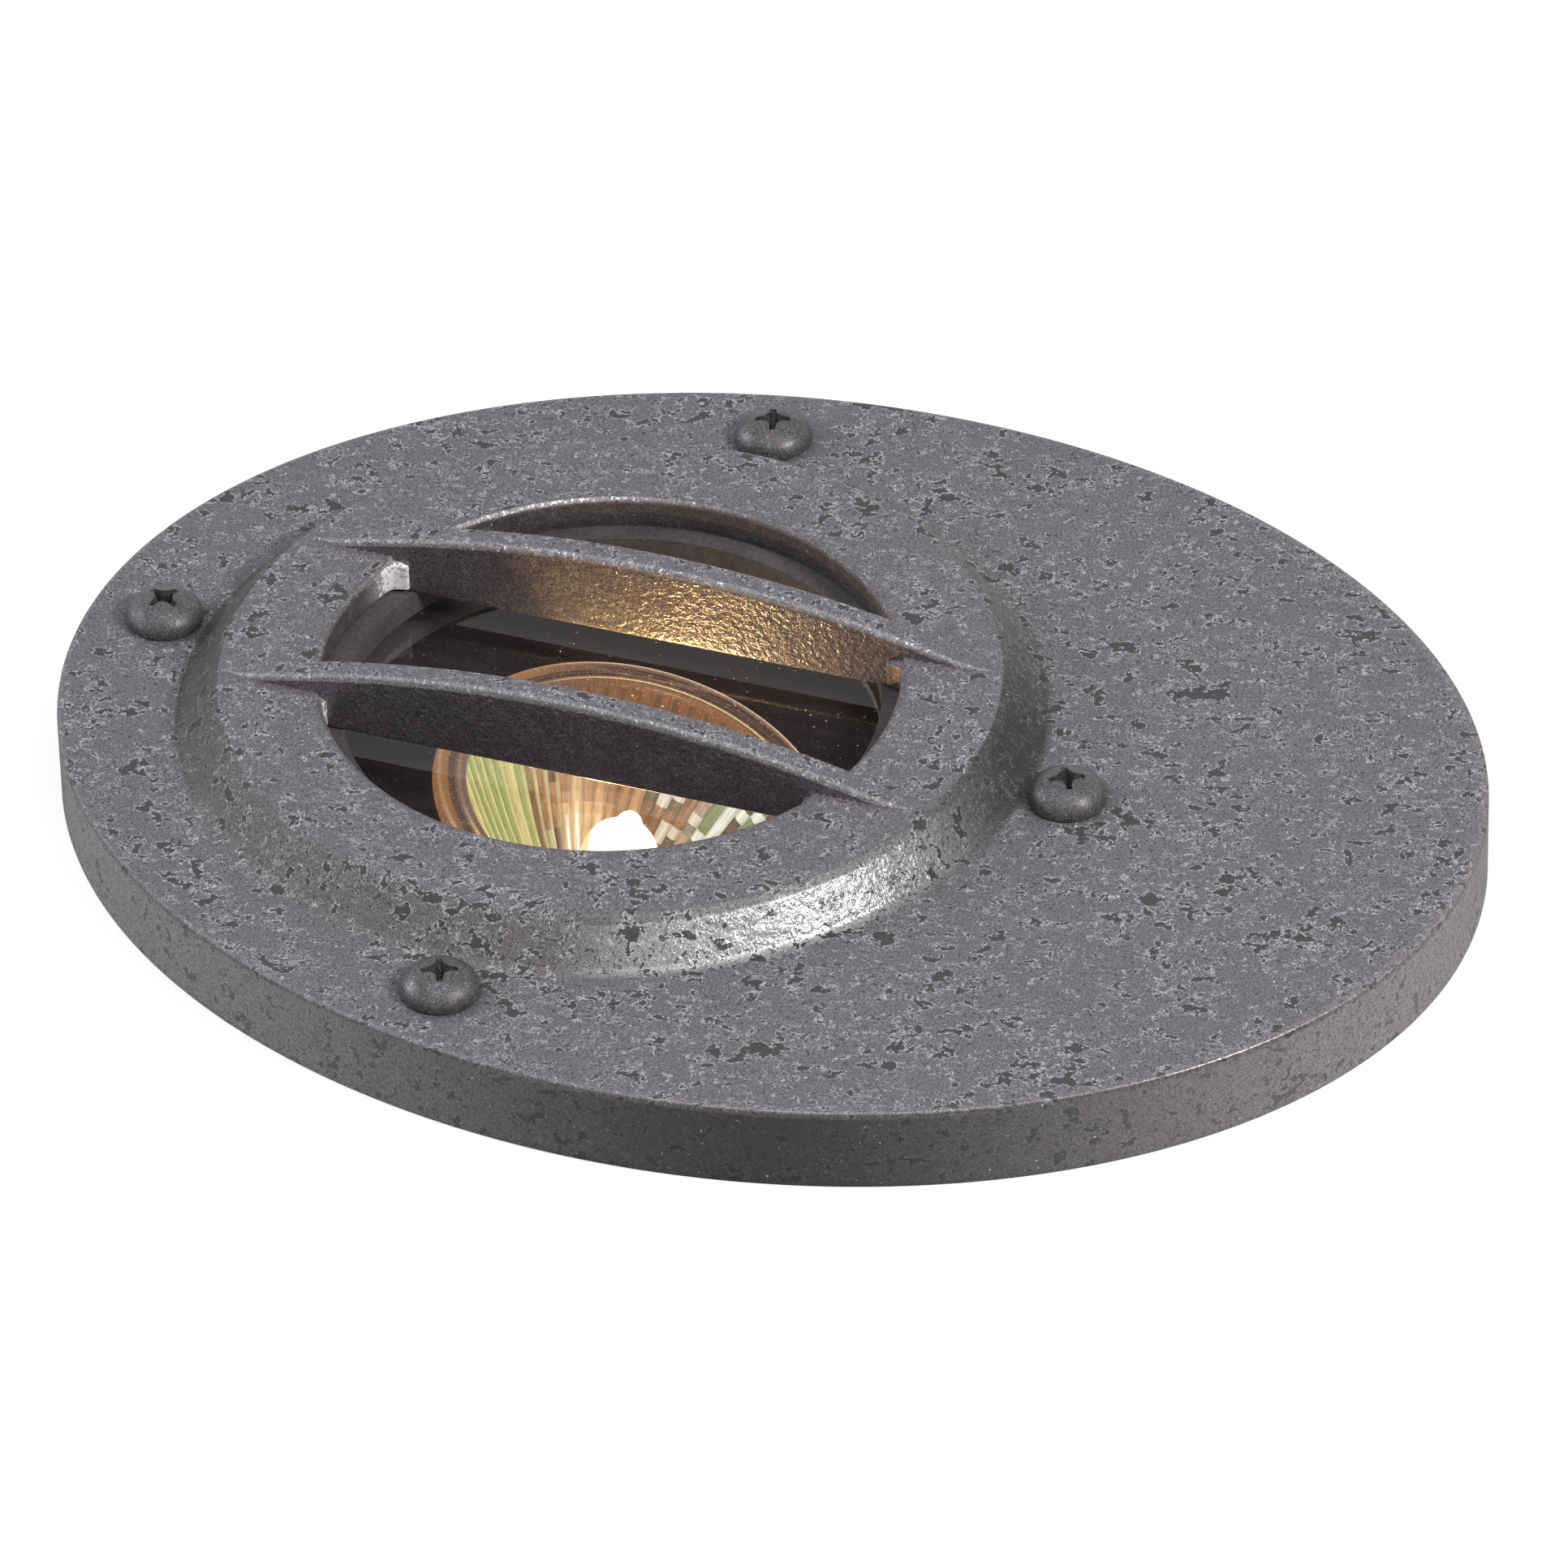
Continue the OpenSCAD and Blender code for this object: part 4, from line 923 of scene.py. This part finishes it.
# Dichroic glass painted as lit from inside: its tints and painted reflections glow as emission, with
# fine streaks along the flutes
def reflectorFinish():
    newFinish("reflector_glass")
    tintAndReflection = attribute("tintAndReflection", "Color")
    flutes = times(attribute("around"), 260.0)
    run = add("CombineXYZ", {0: flutes, 1: times(attribute("depth"), 0.3)})
    streak = remap(cloud(run, 1.0, 3.0, 0.7), 0.3, 0.7)
    grain = cloud(objectPlace(), 2600, 3.0, 0.7)
    dust = times(remap(grain, 0.58, 0.68), 0.3)
    glow = blendColour(dust, tintAndReflection, (240, 205, 160))
    power = plus(0.72, times(streak, 0.7))
    return finishWith(surface(
        Base_Color=blendColour(0.75, tintAndReflection, rgb(0, 0, 0)), Roughness=0.14, Emission_Color=glow,
        Emission_Strength=power, Normal=bump(grain, 0.02 * mm, 0.4), Specular_IOR_Level=0.4))


# White-hot quartz, yellower towards its foot
def capsuleFinish():
    newFinish("hot_quartz")
    low = attribute("low")
    left = remap(add("SeparateXYZ", {0: objectPlace()}), -0.9 * mm, -3.4 * mm)
    foot = larger(remap(low, 1.4, 4.8), times(left, remap(low, 1.0, 3.0)))
    streak = calc("SINE", times(low, 20.0))
    colour = blendColour(foot, rgb(1.0, 0.93, 0.80), rgb(1.0, 0.66, 0.34))
    power = remap(plus(foot, times(streak, 0.1)), 0.0, 1.0, 5.0, 0.75)
    return finishWith(surface(
        Base_Color=rgb(0.8, 0.8, 0.78), Roughness=0.08, Emission_Color=colour, Emission_Strength=power))


# Orange-white tungsten
def filamentFinish():
    newFinish("hot_tungsten")
    hot = blendColour(cloud(objectPlace(), 3000), rgb(1.0, 0.66, 0.30), rgb(1.0, 0.86, 0.6))
    return finishWith(add("Emission", {"Color": hot, "Strength": 12.0}))


print("making the lamp")
reflectorPiece = reflector(reflectorFinish())
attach(reflectorPiece, "lamp_head")
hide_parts("lamp_reflector")
capsulePiece = capsule(capsuleFinish())
capsulePiece.visible_shadow = False  # the clear quartz lets its own lamp's light through
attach(capsulePiece, "lamp_head")
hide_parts("lamp_capsule")
filamentPiece = filament(filamentFinish())
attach(filamentPiece, "lamp_head")
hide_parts("lamp_filament")


# Sleeved leads

leads = metres({
    "radius": 1.2, "bend": 15.0, "socketUnder": -42.8, "wayZ": 5.0, "wayPitch": 11.0,
}) | {"rings": 64, "sides": 16}


# Each lead follows a cubic curve from the socket to its way in the terminal block
def socketLeads(material):
    s, grids = leads, []
    t = np.linspace(0, 1, s["rings"])[:, None]
    for side in (-1, 1):
        pinY = side * lamp["pinPitch"] / 2
        start = toLamp(np.array([0, pinY, s["socketUnder"]]))
        drop = toLamp(np.array([0, pinY, s["socketUnder"] - s["bend"]]))
        end = np.array([blockLow.x, side * s["wayPitch"] / 2, blockLow.z + s["wayZ"]])
        before = end - [s["bend"], 0, 0]
        path = (1 - t) ** 3 * start + 3 * t * (1 - t) ** 2 * drop
        path = path + 3 * t ** 2 * (1 - t) * before + t ** 3 * end
        grids.append((tube(path, s["radius"], s["sides"]), False, True))
    return gridPiece("sleeved_leads", grids, material, 60)


# Glass-fibre sleeve: a slanting weave of off-white yarn
def sleeveFinish():
    newFinish("glass_fibre_sleeve")
    inputs = {"Vector": objectPlace(), "Scale": 900.0, "Distortion": 1.5, "Detail": 1.0}
    weave = add("TexWave", inputs, bands_direction="DIAGONAL", output="Fac")
    colour = blendColour(weave, (196, 188, 170), (236, 231, 218))
    return finishWith(surface(Base_Color=colour, Roughness=0.85, Normal=bump(weave, 0.08 * mm)))


print("making the leads")
leadPiece = socketLeads(sleeveFinish())
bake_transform(leadPiece)
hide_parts("socket_leads")


# Finishes of the pieces that keep their modelled shape

glassShares = {"mirror": 0.68, "film": (0.020, 0.036), "dust": 0.62}


# Clear glass that mirrors on its outer faces, under a faint film and specks of dust that the lamp
# lights from below
def glassFinish():
    newFinish("lens_glass")
    place = objectPlace()
    facing = minus(1.0, add("NewGeometry", output="Backfacing"))
    mirror = times(times(add("Fresnel", {"IOR": 1.5}), facing), glassShares["mirror"])
    clear = add("BsdfTransparent", {"Color": rgb(0.93, 0.95, 0.93)})
    gloss = add("BsdfGlossy", {"Color": rgb(1, 0.97, 0.96), "Roughness": 0.0})
    pane = blendShader(mirror, clear, gloss)
    bend = add("TexNoise", {"Vector": place, "Scale": 2600.0}, output="Color")
    bend = add("VectorMath", {0: bend, "Scale": 0.00035}, operation="SCALE")
    bent = add("VectorMath", {0: place, 1: bend}, operation="ADD")
    speck = times(remap(cells(bent, 950), 0.15, 0.09), remap(cellShade(bent, 950), 0.84, 0.86))
    fine = times(remap(cells(place, 2400), 0.22, 0.12), remap(cellShade(place, 2400), 0.90, 0.94))
    drift = remap(cloud(place, 70, 2.0), 0.40, 0.62, 0.25, 1.0)
    dust = times(larger(speck, times(fine, 0.7)), drift)
    film = remap(cloud(objectPlace((0.15, 1.0, 1.0)), 500, 3.0, 0.6), 0.3, 0.7, *glassShares["film"])
    below = add("BsdfTranslucent", {"Color": rgb(0.85, 0.72, 0.58)})
    above = add("BsdfDiffuse", {"Color": rgb(0.62, 0.48, 0.50)})
    filmed = blendShader(times(film, facing), pane, above)
    dust = times(dust, glassShares["dust"])
    return finishWith(blendShader(dust, filmed, blendShader(0.5, below, above)))


# A plain finish with grain in its colour, gloss and relief
def grainFinish(name, dark, light, scale, rough, metal=0.0, relief=0.05, level=0.5):
    newFinish(name)
    place = objectPlace()
    grain = cloud(place, scale, 4.0, 0.65)
    patch = cloud(place, scale / 9, 2.0, 0.5)
    colour = blendColour(remap(plus(times(grain, 0.6), times(patch, 0.4)), 0.3, 0.7), dark, light)
    gloss = remap(patch, 0.3, 0.7, rough - 0.06, rough + 0.08)
    return finishWith(surface(
        Base_Color=colour, Roughness=gloss, Metallic=metal, Normal=bump(grain, relief * mm, 0.6),
        Specular_IOR_Level=level))


# Galvanised sheet: zinc crystals of different greys
def zincFinish():
    newFinish("zinc_plate")
    place = objectPlace()
    crystal = cellShade(place, 260)
    grain = cloud(place, 2400, 3.0, 0.6)
    colour = layColours((142, 145, 150), (crystal, (196, 198, 201)), (times(grain, 0.3), (120, 121, 124)))
    rough, relief = remap(crystal, 0.0, 1.0, 0.28, 0.42), bump(grain, 0.02 * mm, 0.5)
    return finishWith(surface(Base_Color=colour, Roughness=rough, Metallic=0.9, Normal=relief))


# Finish: the nodes it is for, dark and light colours, grain's scale, roughness, metal, relief in
# millimetres and, where it isn't the usual one, the specular level
grains = {
    "moulded_can": (
        "well_sleeve well_base mounting_flange", (30, 30, 31), (54, 53, 53), 1500, 0.5, 0.0, 0.06),
    "gland_nylon": (
        "gland_body gland_locknut gland_nut", (22, 22, 23), (44, 44, 45), 2200, 0.38, 0.0, 0.03),
    "turned_brass": (
        "cover_inserts swivel_insert terminal_screws", (150, 116, 58), (206, 168, 96), 1900, 0.26, 1.0,
        0.02),
    "lens_seal_rubber": ("lens_gasket", (66, 62, 63), (92, 87, 88), 1600, 0.7, 0.0, 0.03, 0.2),
    "cover_seal_rubber": ("cover_gasket", (24, 24, 24), (46, 45, 44), 1300, 0.7),
    "spring_steel": ("spring_washer", (96, 97, 100), (150, 151, 153), 1800, 0.3, 0.9, 0.02),
    "gland_rubber": ("gland_washer", (16, 16, 16), (34, 34, 34), 1500, 0.65, 0.0, 0.03),
    "gland_sleeve_rubber": ("gland_seal", (46, 46, 46), (72, 71, 70), 1500, 0.6, 0.0, 0.03),
    "terminal_plastic": ("terminal_block", (214, 208, 190), (240, 236, 224), 1100, 0.42, 0.0, 0.02),
    "dark_band": ("lamp_band", (30, 25, 21), (62, 52, 44), 1700, 0.42, 0.3, 0.03),
    "lamp_cement": ("lamp_base", (198, 190, 170), (238, 234, 220), 1400, 0.85, 0.0, 0.12),
    "nickel_pin": ("lamp_pins", (168, 166, 160), (214, 212, 206), 2100, 0.25, 1.0, 0.01),
    "steatite": ("lamp_socket", (206, 200, 184), (238, 234, 222), 900, 0.55),
}


# One finish given to carried pieces
def dress(nodes, finish):
    for name in nodes.split():
        materials = frame["nodes"][name].data.materials
        materials.clear()
        materials.append(finish)


print("finishing the carried pieces")
dress("lens_glass", glassFinish())
dress("lens_retainer retainer_screws swivel_bolt swivel_yoke tilt_screws block_screw", zincFinish())
for name, (nodes, *values) in grains.items():
    dress(nodes, grainFinish(name, *values))


# Floor, lights, world and camera

stage = metres({
    "hole": 53.0, "reach": 215.0, "step": 0.5, "sheet": 1600.0, "drop": 0.04,
}) | {"columns": 128, "rows": 8, "shown": 0.78}


# The ground: a flat ring round the can, a hair below the cover's underside, and a plain sheet outside
# it that only the camera sees, so that the ground hides the can from every side above it
def groundRing():
    radii = np.linspace(stage["hole"], stage["reach"], stage["rows"])
    radii = np.append(radii, [stage["reach"] + stage["step"], stage["sheet"]])
    profile = np.stack([radii, np.full(radii.size, groundZ - stage["drop"])], -1)
    local = turned(profile, stage["columns"])
    outside = (np.hypot(local[..., 0], local[..., 1]) > stage["reach"] + 0.5 * stage["step"]) * 1.0
    newFinish("pale_ground")
    tone = blendColour(cloud(objectPlace(), 300), rgb(0.30, 0.30, 0.30), rgb(0.32, 0.32, 0.32))
    soft = surface(Base_Color=tone, Roughness=0.9)
    seen = add("LightPath", output="Is Camera Ray")
    shown = add("Emission", {"Color": rgb(1, 1, 1), "Strength": stage["shown"]})
    ring = blendShader(seen, soft, add("AddShader", {0: soft, 1: shown}))
    white, clear = add("Emission", {"Color": rgb(1, 1, 1)}), add("BsdfTransparent")
    material = finishWith(blendShader(attribute("outside"), ring, blendShader(seen, clear, white)))
    return gridPiece("ground", [(local, False, True)], material, 40, {"outside": outside})


groundRing()


# A light or camera in its place, turned by the directions of its right, its top and its back
def placed(name, data, place, right, up, back):
    piece = bpy.data.objects.new(name, data)
    bpy.context.scene.collection.objects.link(piece)
    turn = Matrix(np.stack([right, up, back], 1).tolist()).to_4x4()
    piece.matrix_world = Matrix.Translation(place) @ turn
    return piece


# A light of a kind with its power in watts and its colour
def newLight(name, kind, power, colour):
    light = bpy.data.lights.new(name, kind)
    light.energy, light.color = power, colour
    return light


# Soft boxes that look at the aperture, each set out from a point there along its own direction: the
# direction, size in metres, power and colour
aim = (0.02, 0, groundZ)
softBoxes = {
    "right": ((0.74, -0.165, 0.66), (0.20, 0.16), 6.0, (1.0, 0.99, 0.98)),
    "left": ((-0.95, -0.10, 0.42), (0.45, 0.35), 4.0, (0.98, 0.98, 1.0)),
    "above": ((0.05, -0.30, 1.0), (0.9, 0.9), 3.6, (1.0, 1.0, 1.0)),
}
for name, (start, size, power, colour) in softBoxes.items():
    light = newLight(name, "AREA", power, colour)
    light.shape = "RECTANGLE"
    light.size, light.size_y = size
    back = np.array(start) / np.linalg.norm(start)
    right = np.cross([0, 0, 1], back)
    right /= np.linalg.norm(right)
    placed(name, light, np.array(start) + aim, right, np.cross(back, right), back)

# The lamp's own light, which rides with it: its beam, a wider spill past the rim, and the red glow
# that leaks through the back of the bowl. Each has its place in the lamp in millimetres, its width in
# degrees, the share of it that is soft, its power, its colour and the way it faces
lampLights = {
    "beam": ((-4.0, 0, -2.0), 82, 0.2, 0.14, (1.0, 0.58, 0.18), -1),
    "spill": ((0.0, 0, -2.0), 132, 0.8, 0.05, (1.0, 0.56, 0.30), -1),
    "leak": ((0.0, 0, -30.0), 165, 1.0, 0.03, (1.0, 0.42, 0.34), 1),
}
lampRight, lampUp = toLamp(np.array([[1, 0, 0], [0, 0, 1]])) - toLamp(np.zeros(3))
for name, (place, wide, soft, power, colour, way) in lampLights.items():
    light = newLight(name, "SPOT", power, colour)
    light.spot_size, light.spot_blend = math.radians(wide), soft
    light.shadow_soft_size = 2.0 * mm
    place = toLamp(np.array(place) * mm)
    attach(placed("lamp_" + name, light, place, way * lampRight, (0, 1, 0), way * lampUp), "lamp_head")

# The world: white to the camera, in reflections and through glass, a dim blue-grey as light
skyLight = {"Color": rgb(0.92, 0.95, 1.0), "Strength": 0.27}
world = bpy.data.worlds.new("studio")
bpy.context.scene.world = world
begin(world)
rays = [add("LightPath", output="Is %s Ray" % kind) for kind in ("Camera", "Glossy", "Transmission")]
shown = larger(larger(rays[0], rays[1]), rays[2])
plain = add("Background", skyLight)
white = add("Background", {"Color": rgb(1, 1, 1)})
add("OutputWorld", {"Surface": blendShader(shown, plain, white)})

# The camera, from its place and directions in the photograph
camera = {
    "lens": 298.9, "sensor": 36.0, "near": 0.01, "far": 20,
    "place": (0.46357, -1.18039, 1.07761), "right": (0.94158476, 0.33621147, -0.01941),
    "up": (-0.18965796, 0.57702192, 0.7944), "back": (0.27827479, -0.74427972, 0.6071),
}
cameraData = bpy.data.cameras.new("camera")
cameraData.lens, cameraData.sensor_width = camera["lens"], camera["sensor"]
cameraData.clip_start, cameraData.clip_end = camera["near"], camera["far"]
bpy.context.scene.camera = placed(
    "camera", cameraData, camera["place"], camera["right"], camera["up"], camera["back"])
bpy.context.scene.view_settings.view_transform = "Standard"
print("lights and camera set")
